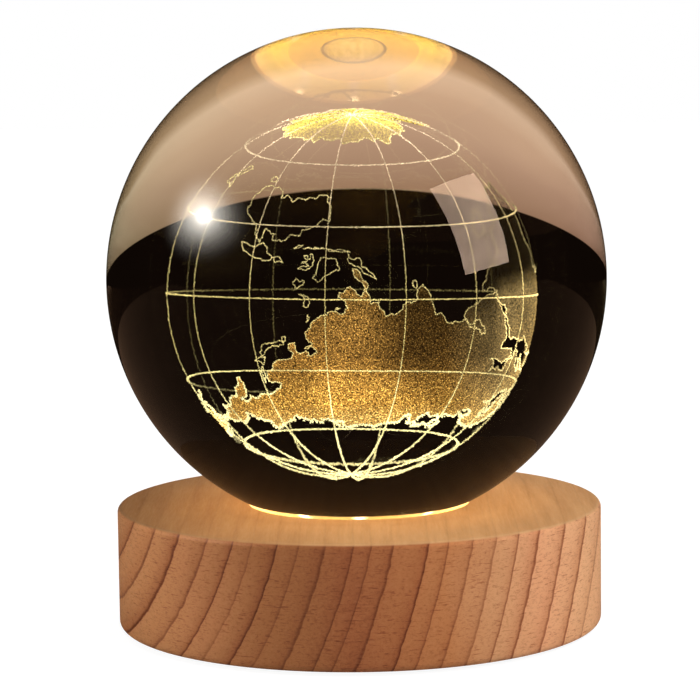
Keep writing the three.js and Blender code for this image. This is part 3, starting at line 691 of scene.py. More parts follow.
def iceSheet(name, border):
    rings, sides = globe["iceRings"], globe["iceSides"]
    turns = min(lon for lon, _ in border) + np.arange(sides) * 360 / sides
    edgeLats = iceEdge(border, turns)
    lons = np.concatenate([[0.0]] + [turns] * rings)
    lats = np.concatenate([[-90.0]] + [-90 + (edgeLats + 90) * (k + 1) / rings for k in range(rings)])
    faces = [(0, 1 + i, 1 + (i + 1) % sides) for i in range(sides)]
    for k in range(rings - 1):
        for i in range(sides):
            a, b = 1 + k * sides + i, 1 + k * sides + (i + 1) % sides
            faces.append((a, a + sides, b + sides, b))
    return sheetOf(name, lons, lats, faces)


def sheetOf(name, longitudes, latitudes, faces):
    places = onGlobe(longitudes, latitudes, np.full(len(longitudes), globe["radius"]))
    piece = engraved(name, places, [list(f) for f in faces])
    bpy.ops.object.select_all(action="DESELECT")
    bpy.context.view_layer.objects.active = piece
    piece.select_set(True)
    solid = piece.modifiers.new("thickness", "SOLIDIFY")
    solid.thickness = globe["sheet"] * mm
    solid.offset = 0
    bpy.ops.object.modifier_apply(modifier="thickness")
    bpy.ops.object.mode_set(mode="EDIT")
    bpy.ops.mesh.select_all(action="SELECT")
    bpy.ops.mesh.normals_make_consistent(inside=False)
    bpy.ops.object.mode_set(mode="OBJECT")
    print(name, len(piece.data.polygons), "faces")
    return piece


def makeEngraving():
    meridians = []
    for k in range(int(360 / globe["meridianStep"])):
        longitude = globe["meridianOffset"] + k * globe["meridianStep"]
        meridians.append(walk([(longitude, -90 + 2 * i) for i in range(91)], closed=False))
    rings = [walk([(2 * i, latitude) for i in range(181)], closed=False) for latitude in globe["parallels"]]
    upright = lineFlakes("engraved_meridians", meridians, *globe["meridianFlakes"])
    level = lineFlakes("engraved_rings", rings, *globe["ringFlakes"])

    lands = {**filledLands, **outlinedLands}
    coasts = {name: roughen(drawn(corners), globe["wiggles"]) for name, corners in lands.items()}
    turnedIce = [(lon + globe["iceTurn"], lat) for lon, lat in southernIce + [(300, -63.5)]]
    ice = roughen(drawn(turnedIce), globe["wiggles"], closed=False)
    lines = [walk(corners) for corners in coasts.values()] + [walk(ice, closed=False)]
    coast = lineFlakes("engraved_coast", lines, *globe["coastFlakes"])

    # Land is filled at random: each flake's place is thrown first, and those at sea are left out
    count = int(4 * math.pi * globe["radius"] ** 2 * globe["fillPerSquareMm"])
    longitudes = dice.uniform(-180, 180, count)
    latitudes = np.degrees(np.arcsin(dice.uniform(-1, 1, count)))
    land = np.zeros(count, dtype=bool)
    for name in ("eurasia", "africa"):
        for turn in (-360, 0):
            land |= inside(coasts[name], longitudes + turn, latitudes)
    faded = inside(coasts["northAmerica"], longitudes, latitudes)
    faded |= inside(coasts["northAmerica"], longitudes - 360, latitudes)
    share = np.clip((latitudes - globe["fadeTo"]) / (globe["fadeFrom"] - globe["fadeTo"]), 0, 1)
    share **= globe["fadePower"]
    share *= np.interp(np.abs((longitudes + 180) % 360 - 180), globe["fadeEast"], [1, 0])
    land |= faded & (dice.uniform(0, 1, count) < share)
    land &= latitudes < globe["northEnd"]
    land |= latitudes < iceEdge(ice, longitudes)
    low, high = globe["fillFlake"]
    radius = globe["radius"] + dice.normal(0, globe["fillSpread"], int(land.sum()))
    places = onGlobe(longitudes[land], latitudes[land], radius)
    fill = flakes("engraved_land", places, dice.uniform(low, high, len(places)))
    hazes = [landSheet("land_haze_" + name, coasts[name]) for name in ("eurasia", "africa")]
    hazes.append(iceSheet("land_haze_ice", ice))
    return upright, level, coast, fill, hazes


def colour(code):  # sRGB hex turned linear
    parts = [int(code[i:i + 2], 16) / 255 for i in (1, 3, 5)]
    return tuple(p / 12.92 if p <= 0.04045 else ((p + 0.055) / 1.055) ** 2.4 for p in parts) + (1.0,)


def grey(level):
    return (level, level, level, 1.0)


mainSettings = {
    "Math": "operation", "VectorMath": "operation", "Mix": "blend_type", "MapRange": "interpolation_type",
}
ofColours = {"data_type": "RGBA", "output": 2}  # for a Mix node
noiseSpan = (0.3, 0.7)  # where most of a noise's values lie


# Adds a node, and gives one of its outputs. A second word in its kind is its main setting. Its inputs come in
# the node's own order or by name, each a value or the socket it is linked from. Stops are a ramp's
# (place, colour) pairs.
def addNode(tree, kind, inputs=(), output=0, stops=(), **settings):
    kind, *word = kind.split()
    node = tree.nodes.new("ShaderNode" + kind)
    if word:
        settings[mainSettings[kind]] = word[0].upper()
    for name, value in settings.items():
        setattr(node, name, value)
    for i, (place, code) in enumerate(stops):
        elements = node.color_ramp.elements
        element = elements[i] if i < 2 else elements.new(place)
        element.position = place
        element.color = colour(code)
    for place, value in inputs.items() if isinstance(inputs, dict) else enumerate(inputs):
        if isinstance(value, bpy.types.NodeSocket):
            tree.links.new(value, node.inputs[place])
        else:
            node.inputs[place].default_value = value
    return node.outputs[output] if node.outputs else node


# A material and the function that adds its nodes. One that glows is left out of the lamps that Cycles aims at
def newMaterial(name, glows=False):
    material = bpy.data.materials.new(name)
    material.use_nodes = True
    material.node_tree.nodes.clear()
    if glows:
        material.cycles.emission_sampling = "NONE"
    return material, partial(addNode, material.node_tree)


def inMillimetres(add, stretch=(1, 1, 1)):  # object coordinates in mm, stretched if asked
    place = add("TexCoord", output="Object")
    return add("Mapping", {"Vector": place, "Scale": [value / mm for value in stretch]})


def wander(add, place, perMm, detail, reach):  # strays by up to half its reach either way
    waves = add("TexNoise", {"Vector": place, "Scale": perMm, "Detail": detail})
    return add("Math multiply", (add("Math subtract", (waves, 0.5)), reach))


def distanceFrom(add, across, along, centre=(0.0, 0.0)):
    offsets = [add("Math subtract", pair) for pair in zip((across, along), centre)]
    squares = [add("Math power", (offset, 2.0)) for offset in offsets]
    return add("Math sqrt", (add("Math add", squares),))


def product(add, first, *others):
    for other in others:
        first = add("Math multiply", (first, other))
    return first


def seenAlone(add, share):  # a glow that shows, but lights nothing round it: the lamps do that
    others = add("Math subtract", (1.0, add("LightPath", output="Is Diffuse Ray")))
    return add("Math multiply", (share, others))


# A plain finish that isn't flat: two tones in soft patches, uneven gloss and a fine grain in the surface.
# Patches and grain are counted per mm, and the grain's depth is in mm.
def grained(name, tones, perMm, gloss, grainDepth, **values):
    material, add = newMaterial(name)
    place = inMillimetres(add)
    patches = add("TexNoise", {"Vector": place, "Scale": perMm[0], "Detail": 3.0})
    grain = add("TexNoise", {"Vector": place, "Scale": perMm[1]})
    shader = add("BsdfPrincipled", {
        "Base Color": add("ValToRGB", (patches,), stops=list(zip(noiseSpan, tones))),
        "Roughness": add("MapRange", (grain, *noiseSpan, *gloss)),
        "Normal": add("Bump", {"Distance": grainDepth * mm, "Height": grain}), **values})
    add("OutputMaterial", (shader,))
    return material


# Crystal glass: clear, faint smudges that soften the reflections a little, and shadows that let light through
crystal = {
    "smudgePerMm": 0.05, "smudges": (0.5, 0.8, 0.0, 0.012), "tones": ("#FDFCF8", "#FFFFFF"), "ior": 1.52,
    "mirrored": 0.4,
}


def crystalGlass():
    material, add = newMaterial("crystal glass")
    place = inMillimetres(add)
    smudge = add("TexNoise", {"Vector": place, "Scale": crystal["smudgePerMm"], "Detail": 3.0})
    glass = add("BsdfPrincipled", {
        "Base Color": add("ValToRGB", (smudge,), stops=list(zip(noiseSpan, crystal["tones"]))),
        "Roughness": add("MapRange", (smudge, *crystal["smudges"])),
        "IOR": crystal["ior"], "Transmission Weight": 1.0, "Specular Tint": grey(crystal["mirrored"])})
    isShadow = add("LightPath", output="Is Shadow Ray")
    add("OutputMaterial", (add("MixShader", (isShadow, glass, add("BsdfTransparent"))),))
    return material


# Cracked glass: each flake throws back the lamp's warm light, strongest near the lit foot and pale far above.
# Fades are in mm along one direction, from nothing to all; two more numbers say what they turn into.
crackLight = {
    "height": (36.0, 74.0), "levelHeight": (0.0, 0.45), "patchPerMm": 0.16, "patches": (0.6, 1.3),
    "speckle": (0.33, 0.67), "goldEdge": (11.0, 16.0, 0.0, 0.6), "gold": "#C9AE72",
    "far": (-2.0, 5.0), "farLow": 0.6, "ice": (71.3, 72.3), "iceFar": (-5.5, -0.5), "iceGain": 1.6,
    "pole": (37.8, 39.0), "upper": (43.0, 48.5), "toRight": (-1.0, 7.5),
    "lowRight": (5.0, 10.0), "lowRightFoot": (38.0, 43.0), "lowRightTop": (48.5, 45.5),
    "limb": (16.0, 18.2), "limbTop": (57.5, 55.0), "limbFoot": (44.0, 47.0), "limbGain": 1.5,
    "warmSpot": (-1.0, 43.3), "warmth": (6.0, 0.0, 1.0, 1.45), "end": (10.0, 13.0), "endFoot": (51.0, 55.5),
    "unlit": 0.05, "roughness": 0.5, "specular": 0.2,
}
crackLooks = {
    "lines": {
        "tones": [(0.0, "#F6E8A2"), (0.2, "#F8EAA0"), (0.35, "#F4DE8A"), (0.55, "#EBD686"), (0.75, "#E2CB98"),
                  (1.0, "#EBCDAA")],
        "strengths": (1.45, 1.05), "grain": (5.0, 0.45, 1.7), "farShare": 0.045, "farRise": (37.0, 44.0),
        "poleShare": 1.0, "iceFront": 0.8, "cover": 1.0, "rightEnd": 1.0, "upperRight": 1.0, "lowRight": 1.0,
    },
    "coasts": {
        "tones": [(0.0, "#F8EBAA"), (0.2, "#F8EAA4"), (0.35, "#F2DC8C"), (0.6, "#E4D28C"), (1.0, "#E8D090")],
        "strengths": (1.8, 1.0), "grain": (5.0, 0.3, 1.7), "farShare": 0.0, "farRise": (36.0, 38.6),
        "poleShare": 0.04, "iceFront": 0.9, "cover": 1.0, "rightEnd": 0.6, "upperRight": 1.0, "lowRight": 1.0,
    },
    "land": {
        "tones": [(0.0, "#FFEBA0"), (0.15, "#F6C35E"), (0.3, "#DDA64C"), (0.5, "#BC9048"), (0.8, "#B09A50"),
                  (1.0, "#F2D868")],
        "strengths": (1.55, 1.1), "grain": (6.0, 0.1, 2.4), "farShare": 0.0, "farRise": (37.0, 44.0),
        "poleShare": 1.0, "iceFront": 0.1, "cover": 1.0, "rightEnd": 0.12, "upperRight": 0.22,
        "lowRight": 0.58,
    },
    "haze": {
        "tones": [(0.0, "#E8BC66"), (0.15, "#B07E34"), (0.3, "#8A622C"), (0.5, "#6C4E22"), (0.8, "#6E5A2C"),
                  (1.0, "#D8BE5C")],
        "strengths": (0.9, 0.95), "grain": (4.5, 0.1, 2.0), "farShare": 0.0, "farRise": (37.0, 44.0),
        "poleShare": 1.0, "iceFront": 0.1, "cover": 0.9, "rightEnd": 0.12, "upperRight": 0.2,
        "lowRight": 0.58,
    },
}


def crackedGlass(kind):
    look = crackLooks[kind]
    material, add = newMaterial("cracked glass, " + kind)
    place = inMillimetres(add)
    x, y, z = add("SeparateXYZ", (place,)).node.outputs

    def fade(value, name, *ends):
        return add("MapRange", (value, *crackLight[name], *ends))

    def softFade(value, span, *ends):
        return add("MapRange smoothstep", (value, *span, *ends))

    def towards(level, share):  # 1 where the share is nothing, the level where it is all
        return add("Math multiply_add", (share, level - 1.0, 1.0))

    height = fade(z, "height")
    perMm, *grainEnds = look["grain"]
    grain = add("TexNoise", {"Vector": place, "Scale": perMm, "Detail": 1.0})
    patches = add("TexNoise", {"Vector": place, "Scale": crackLight["patchPerMm"], "Detail": 3.0})
    # Far to the right the glass bends the lamp's light into a pale gold
    heightTone = add("ValToRGB", (height,), stops=look["tones"])
    gold = {0: fade(x, "goldEdge"), 6: heightTone, 7: colour(crackLight["gold"])}
    tone = add("Mix", gold, **ofColours)
    level = softFade(height, crackLight["levelHeight"], *look["strengths"])
    speckle = fade(grain, "speckle", *grainEnds)
    unevenness = add("MapRange", (patches, *noiseSpan, *crackLight["patches"]))
    # The lamp's light reaches the far side's cracks from behind, so above the foot they hardly show
    high = softFade(z, look["farRise"], crackLight["farLow"], 1.0)
    dimmed = towards(look["farShare"], product(add, softFade(y, crackLight["far"]), high))
    # The southern ice is the other way round: its far rim catches the light
    isIce = fade(z, "ice")
    isElse = add("Math subtract", (1.0, isIce))
    iceRim = product(add, isIce, softFade(y, crackLight["iceFar"], look["iceFront"], 1.0))
    farSide = add("Math multiply_add", (isElse, dimmed, iceRim))
    iceLight = add("MapRange", (isIce, 0.0, 1.0, 1.0, crackLight["iceGain"]))
    pole = fade(z, "pole", look["poleShare"], 1.0)
    # Less of it reaches the right side above the middle, and a warm patch lies low in the middle
    upperRight = product(add, softFade(z, crackLight["upper"]), softFade(x, crackLight["toRight"]), isElse)
    lowRight = product(add, fade(x, "lowRight"), fade(z, "lowRightFoot"), fade(z, "lowRightTop"))
    limb = product(add, softFade(x, crackLight["limb"]), fade(z, "limbTop"))
    limbFoot = product(add, limb, fade(z, "limbFoot"))
    limbLight = add("Math multiply_add", (limbFoot, crackLight["limbGain"], 1.0))
    warmth = softFade(distanceFrom(add, x, z, crackLight["warmSpot"]), crackLight["warmth"])
    end = product(add, fade(x, "end"), fade(z, "endFoot"), add("Math subtract", (1.0, limb)))
    end = towards(look["rightEnd"], end)
    upperRight = towards(look["upperRight"], upperRight)
    lowRight = towards(look["lowRight"], lowRight)
    strength = product(add, level, speckle, unevenness, iceLight, pole, upperRight, lowRight, limbLight,
                       warmth, end)
    dark = add("Mix multiply", {0: 1.0, 6: tone, 7: grey(crackLight["unlit"])}, **ofColours)
    crack = add("BsdfPrincipled", {
        "Base Color": dark, "Emission Color": tone, "Emission Strength": strength, "IOR": crystal["ior"],
        "Roughness": crackLight["roughness"], "Specular IOR Level": crackLight["specular"]})
    # Where no light reaches a crack, it is only clear glass
    lit = product(add, farSide, pole, end, look["cover"])
    isShadow = add("LightPath", output="Is Shadow Ray")
    clear = add("Math maximum", (isShadow, add("Math subtract", (1.0, lit))))
    add("OutputMaterial", (add("MixShader", (clear, crack, add("BsdfTransparent"))),))
    return material


# Beech, turned across the grain: the front and back show end grain with leaning growth rings, the sides long
# grain. Patterns are counted per mm, in three directions where they are stretched, with detail and roughness.
beech = {
    "pith": (-80.0, 36.0), "ringWidth": 3.6, "warp": (0.02, 2.0, 1.8), "ripple": (0.55, 3.0, 0.5),
    "yearsPerMm": 0.09, "yearsReach": 1.3, "lateWood": 2.6, "line": (0.86, 0.97), "leastLine": 0.35,
    "drift": (0.06, 1.0, 9.0), "side": (-36.0, 38.0), "fleck": ((0.5, 0.5, 4.2), 2.0, 0.6),
    "mottle": ((1.7, 0.5, 2.6), 3.0, 0.75), "pore": ((3.2, 0.22, 3.2), 3.0, 0.7),
    "streak": ((0.55, 0.035, 0.55), 4.0, 0.6),
    "tones": [(0.05, "#C68A58"), (0.155, "#BC8051"), (0.275, "#9E6539"), (0.373, "#985F35"),
              (0.473, "#985A33"), (0.572, "#A86A3E"), (0.67, "#B57849"), (0.77, "#CB966A"),
              (0.87, "#DFA378"), (0.955, "#E6B184")],
    "lateTone": "#C9A58C", "lineTone": "#A98674",
    "topTones": [(0.25, "#C49566"), (0.5, "#D3A575"), (0.75, "#DEB383")], "topLine": (0.12, "#B08A68"),
    "topShade": [(0.0, "#B9AFA4"), (0.25, "#EDE6DE"), (0.5, "#FFFFFF"), (1.0, "#FFFFFF")],
    "topFacing": (0.55, 0.9), "topFrom": (17.0, 18.0), "mirrored": 0.3, "gloss": (0.42, 0.6),
    "specular": 0.35, "relief": 0.5, "lineRelief": 0.3, "bumpDepth": 0.06, "bumpStrength": 0.7,
    "wellEdge": (17.76, 18.01), "wellFoot": (12.6, 12.8), "wellMiddle": (15.0, 17.0),
    "wellStrength": (5.5, 1.9), "wellTones": ("#FFC252", "#FFD084"),
}


def beechWood():
    material, add = newMaterial("beech wood", glows=True)
    place = inMillimetres(add)
    x, y, z = add("SeparateXYZ", (place,)).node.outputs

    def figure(name):  # a pattern in the wood
        perMm, detail, roughness = beech[name]
        stretched = inMillimetres(add, perMm)
        return add("TexNoise", {"Vector": stretched, "Scale": 1.0, "Detail": detail, "Roughness": roughness})

    def layer(kind, share, tone, over):
        return add("Mix " + kind, {0: share, 6: tone, 7: over}, **ofColours)

    distance = distanceFrom(add, x, z, beech["pith"])
    grown = distance
    for name in ("warp", "ripple"):
        grown = add("Math add", (grown, wander(add, place, *beech[name])))
    rings = add("Math divide", (grown, beech["ringWidth"]))
    # Uneven ring widths: the count itself is bent by a slow noise of the distance
    years = {"W": distance, "Scale": beech["yearsPerMm"], "Detail": 1.0}
    years = add("TexNoise", years, noise_dimensions="1D")
    bent = add("Math multiply_add", (years, beech["yearsReach"], rings))
    phase = add("Math fract", (bent,))
    chance = add("TexWhiteNoise", {"W": add("Math floor", (bent,))}, noise_dimensions="1D")
    # The late wood darkens slowly, then ends at a thin dark line
    late = add("Math power", (phase, beech["lateWood"]))
    lineStart = add("MapRange smoothstep", (phase, *beech["line"]))
    lineEnd = add("MapRange", (phase, beech["line"][1], 1.0, 1.0, 0.0))
    line = product(add, lineStart, lineEnd)
    strength = add("MapRange", (chance, 0.0, 1.0, beech["leastLine"], 1.0))
    # Across the wood the tones are darker in the middle, where the end grain faces the front, and lighter to
    # the right: partly the wood's own tone, partly painted light from the right
    side = add("MapRange", (add("Math add", (x, wander(add, place, *beech["drift"]))), *beech["side"]))
    endGrainAndLight = add("ValToRGB", (side,), stops=beech["tones"])
    endGrainAndLight = layer("multiply", product(add, late, strength), endGrainAndLight, colour(beech["lateTone"]))
    endGrainAndLight = layer("multiply", product(add, line, strength), endGrainAndLight, colour(beech["lineTone"]))
    # Ray flecks, short and level on the end grain, then mottling and pores
    flecks, mottle, pores = figure("fleck"), figure("mottle"), figure("pore")
    for pattern, kind, span, most, over in (
            (flecks, "multiply", (0.60, 0.70), 0.7, "#B98B6E"),
            (flecks, "screen", (0.38, 0.30), 0.6, "#3A2A1E"),
            (mottle, "multiply", (0.48, 0.30), 0.45, "#B08A72"),
            (mottle, "screen", (0.53, 0.70), 0.85, "#35281D"),
            (pores, "multiply", (0.55, 0.75), 0.35, "#B08A70")):
        share = add("MapRange", (pattern, *span, 0.0, most))
        endGrainAndLight = layer(kind, share, endGrainAndLight, colour(over))
    # The flat top is long grain: smooth, golden, with faint streaks, and painted shade darkens it towards the
    # left
    topGrainAndShade = add("ValToRGB", (figure("streak"),), stops=beech["topTones"])
    topGrainAndShade = layer("multiply", 1.0, topGrainAndShade, add("ValToRGB", (side,), stops=beech["topShade"]))
    lineShare, lineTone = beech["topLine"]
    topGrainAndShade = layer("multiply", product(add, line, lineShare), topGrainAndShade, colour(lineTone))
    normal = add("NewGeometry", output="Normal")
    facingUp = add("SeparateXYZ", (normal,), output="Z")
    isTop = product(add, add("MapRange smoothstep", (facingUp, *beech["topFacing"])),
                    add("MapRange", (z, *beech["topFrom"])))
    tone = layer("mix", isTop, endGrainAndLight, topGrainAndShade)
    # In the ball's reflections the wood is painted darker, at a share of its tone: a painted, dimmed
    # reflection
    isMirrored = add("LightPath", output="Is Reflection Ray")
    tone = layer("multiply", isMirrored, tone, grey(beech["mirrored"]))
    depth = add("Math add", [product(add, pattern, beech["relief"]) for pattern in (flecks, pores)])
    sunk = add("Math subtract", (depth, product(add, line, beech["lineRelief"])))
    # Inside the seat the lamp lights the wood of the well
    radius = distanceFrom(add, x, y)
    inWell = product(add, add("MapRange", (radius, *beech["wellEdge"], 1.0, 0.0)),
                     add("MapRange", (z, *beech["wellFoot"])))
    outwards = add("MapRange", (radius, *beech["wellMiddle"]))
    wellLight = add("MapRange", (outwards, 0.0, 1.0, *beech["wellStrength"]))
    shader = add("BsdfPrincipled", {
        "Base Color": tone, "Roughness": add("MapRange", (pores, *noiseSpan, *beech["gloss"])),
        "Normal": add("Bump", {
            "Strength": beech["bumpStrength"], "Distance": beech["bumpDepth"] * mm, "Height": sunk}),
        "Emission Color": layer("mix", outwards, *[colour(code) for code in beech["wellTones"]]),
        "Emission Strength": product(add, seenAlone(add, inWell), wellLight),
        "Specular IOR Level": beech["specular"]})
    add("OutputMaterial", (shader,))
    return material


# Clear soft ring: it carries the lamp's light to its rim, brighter above each light under it
seatGlow = {
    "spots": [(-31, 1.0), (0, 1.0), (40, 0.75), (-62, 0.1), (70, 0.1), (97, 0.5), (128, 0.8), (159, 0.6),
              (-170, 1.0), (-141, 0.5), (-112, 0.7), (-88, 0.3)],  # degrees from the front, and how bright
    "spotWidth": 6.5, "spotStrength": 20.0, "spotHeight": (19.0, 19.4), "spotTone": "#FFE9B4",
    "rim": (18.6, 19.4), "lowTone": "#FFDC54", "rimTone": "#FFD494", "rimShare": 0.7, "strength": 2.5,
    "directStrength": 0.3, "hazePerMm": 1.4, "hazeTones": ("#E9C98E", "#F4DCA8"), "gloss": (0.3, 0.45),
    "ior": 1.41, "clear": 0.85,
}


def litSilicone():
    material, add = newMaterial("clear silicone, lit", glows=True)
    place = inMillimetres(add)
    x, y, z = add("SeparateXYZ", (place,)).node.outputs
    angle = add("Math degrees", (add("Math arctan2", (x, product(add, y, -1.0))),))
    spot = None
    for spotAngle, share in seatGlow["spots"]:
        offset = add("Math absolute", (add("Math subtract", (angle, float(spotAngle))),))
        one = add("MapRange smoothstep", (offset, seatGlow["spotWidth"], 0.0, 0.0, share))
        spot = one if spot is None else add("Math add", (spot, one))
    rim = add("MapRange", (z, *seatGlow["rim"]))
    isCamera = add("LightPath", output="Is Camera Ray")
    even = add("MapRange", (isCamera, 0.0, 1.0, seatGlow["strength"], seatGlow["directStrength"]))
    sharp = product(add, add("Math power", (spot, 2.0)), add("MapRange", (z, *seatGlow["spotHeight"])))
    evenLight = product(add, even, add("MapRange", (rim, 0.0, 1.0, 1.0, seatGlow["rimShare"])))
    strength = add("Math multiply_add", (sharp, seatGlow["spotStrength"], evenLight))
    haze = add("TexNoise", {"Vector": place, "Scale": seatGlow["hazePerMm"]})
    tones = {0: rim, 6: colour(seatGlow["lowTone"]), 7: colour(seatGlow["rimTone"])}
    spotShare = add("Math minimum", (spot, 1.0))
    warm = {0: spotShare, 6: add("Mix", tones, **ofColours), 7: colour(seatGlow["spotTone"])}
    shader = add("BsdfPrincipled", {
        "Base Color": add("ValToRGB", (haze,), stops=list(zip(noiseSpan, seatGlow["hazeTones"]))),
        "Roughness": add("MapRange", (haze, *noiseSpan, *seatGlow["gloss"])), "IOR": seatGlow["ior"],
        "Transmission Weight": seatGlow["clear"], "Emission Color": add("Mix", warm, **ofColours),
        "Emission Strength": seenAlone(add, strength)})
    add("OutputMaterial", (shader,))
    return material


# Clear window over the lights: their warm light fills it, brightest over the ring of lights
windowGlow = {
    "ring": 8.74, "fade": 5.0, "tones": [(0.0, "#FFCE60"), (1.0, "#FFDC84")], "strength": (2.3, 3.6),
    "hazePerMm": 0.8, "hazeTones": ("#F4ECD8", "#FDF8EC"), "gloss": (0.2, 0.35), "ior": 1.49, "clear": 0.3,
}


def litWindow():
    material, add = newMaterial("clear plastic, lit", glows=True)
    place = inMillimetres(add)
    x, y, z = add("SeparateXYZ", (place,)).node.outputs
    offset = add("Math absolute", (add("Math subtract", (distanceFrom(add, x, y), windowGlow["ring"])),))
    glow = add("MapRange smoothstep", (offset, windowGlow["fade"], 0.0))
    haze = add("TexNoise", {"Vector": place, "Scale": windowGlow["hazePerMm"]})
    shader = add("BsdfPrincipled", {
        "Base Color": add("ValToRGB", (haze,), stops=list(zip(noiseSpan, windowGlow["hazeTones"]))),
        "Roughness": add("MapRange", (haze, *noiseSpan, *windowGlow["gloss"])), "IOR": windowGlow["ior"],
        "Transmission Weight": windowGlow["clear"],
        "Emission Color": add("ValToRGB", (glow,), stops=windowGlow["tones"]),
        "Emission Strength": seenAlone(add, add("MapRange", (glow, 0.0, 1.0, *windowGlow["strength"])))})
    add("OutputMaterial", (shader,))
    return material


# Reflector cup: only its inside is lit
cupGlow = {"inside": (13.4, 13.7), "facingUp": (-0.5, -0.2), "strength": 4.0, "tone": "#FFC868"}


def litCupPlastic(**finish):
    material = grained("white plastic, lit", **finish, **{"Emission Color": colour(cupGlow["tone"])})
    material.cycles.emission_sampling = "NONE"
    tree = material.node_tree
    add = partial(addNode, tree)
    x, y, z = add("SeparateXYZ", (inMillimetres(add),)).node.outputs
    facingUp = add("SeparateXYZ", (add("NewGeometry", output="Normal"),), output="Z")
    isInside = product(add, add("MapRange", (distanceFrom(add, x, y), *cupGlow["inside"], 1.0, 0.0)),
                       add("MapRange", (facingUp, *cupGlow["facingUp"])))
    strength = product(add, isInside, cupGlow["strength"])
    tree.links.new(strength, tree.nodes["Principled BSDF"].inputs["Emission Strength"])
    return material


def dress(material, *pieces):  # pieces made here, and CAD nodes by name
    for piece in pieces:
        slots = (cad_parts[piece] if isinstance(piece, str) else piece).data.materials
        slots.clear()
        slots.append(material)


ballPiece = makeBall()
woodPiece = makeWood()
ringPiece = makeSeatRing()
windowPiece = makeWindow()
coverPiece = makeCover()
screwPieces = makeCoverScrews()
footPieces = makeFeet()
buttonPiece = makeButton()
shellPiece, tonguePiece = makeInlet()
meridianPiece, ringsPiece, coastPiece, landPiece, hazePieces = makeEngraving()
print("pieces modelled")

dress(crystalGlass(), ballPiece)
dress(crackedGlass("lines"), meridianPiece, ringsPiece)
dress(crackedGlass("coasts"), coastPiece)
dress(crackedGlass("land"), landPiece)
dress(crackedGlass("haze"), *hazePieces)
dress(beechWood(), woodPiece)
dress(litSilicone(), ringPiece)
dress(litWindow(), windowPiece)
# Moulded black plastic: nearly matt, with the fine even grain of a spark-etched mould
blackPlastic = grained("black plastic", ("#161617", "#222223"), (0.12, 6.0), (0.45, 0.6), 0.012)
dress(blackPlastic, coverPiece, buttonPiece, tonguePiece, "switch_body")
# Black rubber: dull, slightly grey where it is rubbed
dress(grained("black rubber", ("#151515", "#262625"), (0.3, 3.0), (0.75, 0.95), 0.02), *footPieces)
# Zinc-plated steel: bright grey, uneven in gloss from handling
steel = grained("zinc-plated steel", ("#A9ADB2", "#C6C9CC"), (0.5, 4.0), (0.22, 0.38), 0.004, Metallic=1.0)
hiddenScrews = [f"cup_screw_{i + 1}" for i in range(3)] + ["board_screw_1", "board_screw_2"]
dress(steel, *screwPieces, *hiddenScrews)
# Nickel-plated steel of the socket: cooler and duller, drawn from sheet
nickel = grained("nickel-plated steel", ("#8C98AE", "#A6B2C6"), (0.5, 4.0), (0.35, 0.5), 0.004, Metallic=1.0)
dress(nickel, shellPiece)
# White plastic: slightly warm, half gloss. The reflector's inside glows because the lights shine into it
whiteFinish = {
    "tones": ("#E6E2D8", "#F2EFE8"), "perMm": (0.1, 4.0), "gloss": (0.35, 0.5), "grainDepth": 0.006,
}
dress(grained("white plastic", **whiteFinish), "switch_plunger")
dress(litCupPlastic(**whiteFinish), "reflector_cup")
# White lacquer of the light board, and green lacquer of the control board, with the weave under it
dress(grained("white board lacquer", ("#E2DFD4", "#EFECE2"), (0.4, 5.0), (0.3, 0.45), 0.004), "led_board")
dress(grained("green board lacquer", ("#17492F", "#226142"), (0.6, 5.0), (0.25, 0.4), 0.006), "control_board")
# Phosphor gel over the light chips
phosphor = grained("phosphor gel", ("#E2B33A", "#F2CB50"), (1.5, 8.0), (0.3, 0.45), 0.01)
dress(phosphor, *[f"led_{i + 1}" for i in range(6)])
# Black epoxy of chips and resistors, dull from the mould
epoxy = grained("black epoxy", ("#141416", "#202024"), (0.8, 9.0), (0.5, 0.7), 0.006)
dress(epoxy, "led_resistor_1", "led_resistor_2", "control_chip")
# Wire insulation: soft plastic with a slight sheen
dress(grained("red insulation", ("#9C1D18", "#B52A22"), (0.7, 5.0), (0.35, 0.5), 0.004), "wire_red")
dress(grained("black insulation", ("#131313", "#222222"), (0.7, 5.0), (0.35, 0.5), 0.004), "wire_black")
print("materials set")

# Camera: close to the photo's place, a long lens a little above the wood, rolled because the photo leans
view = {"place": (-1.17, -421.1, 91.7), "aim": (-1.17, 0, 44.5), "lens": 135.4, "roll": -0.7, "pixels": 700}
cameraPlace = Vector(view["place"]) * mm
cameraData = bpy.data.cameras.new("camera")
cameraData.lens = view["lens"]
cameraData.sensor_width = 36
cameraData.clip_start = 0.01
camera = bpy.data.objects.new("camera", cameraData)
bpy.context.collection.objects.link(camera)
camera.location = cameraPlace
look = (Vector(view["aim"]) * mm - cameraPlace).to_track_quat("-Z", "Y")
camera.rotation_euler = (look @ Quaternion((0, 0, 1), math.radians(view["roll"]))).to_euler()
bpy.context.scene.camera = camera
bpy.context.scene.view_settings.view_transform = "Standard"


def pixelRay(across, down):  # direction of the camera's ray through a pixel
    middle = view["pixels"] / 2
    reach = view["pixels"] * cameraData.lens / cameraData.sensor_width
    turn = camera.rotation_euler.to_matrix()
    return (turn @ Vector((across - middle, middle - down, -reach))).normalized()


def reflectedPlace(across, down, distance):  # where the ball's surface throws the ray of a pixel
    ray = pixelRay(across, down)
    toBall = cameraPlace - ballCentre
    half = ray.dot(toBall)
    reach = -half - math.sqrt(half ** 2 - toBall.length_squared + ballRadius ** 2)
    spot = cameraPlace + ray * reach
    normal = (spot - ballCentre).normalized()
    return spot + (ray - 2 * ray.dot(normal) * normal) * distance


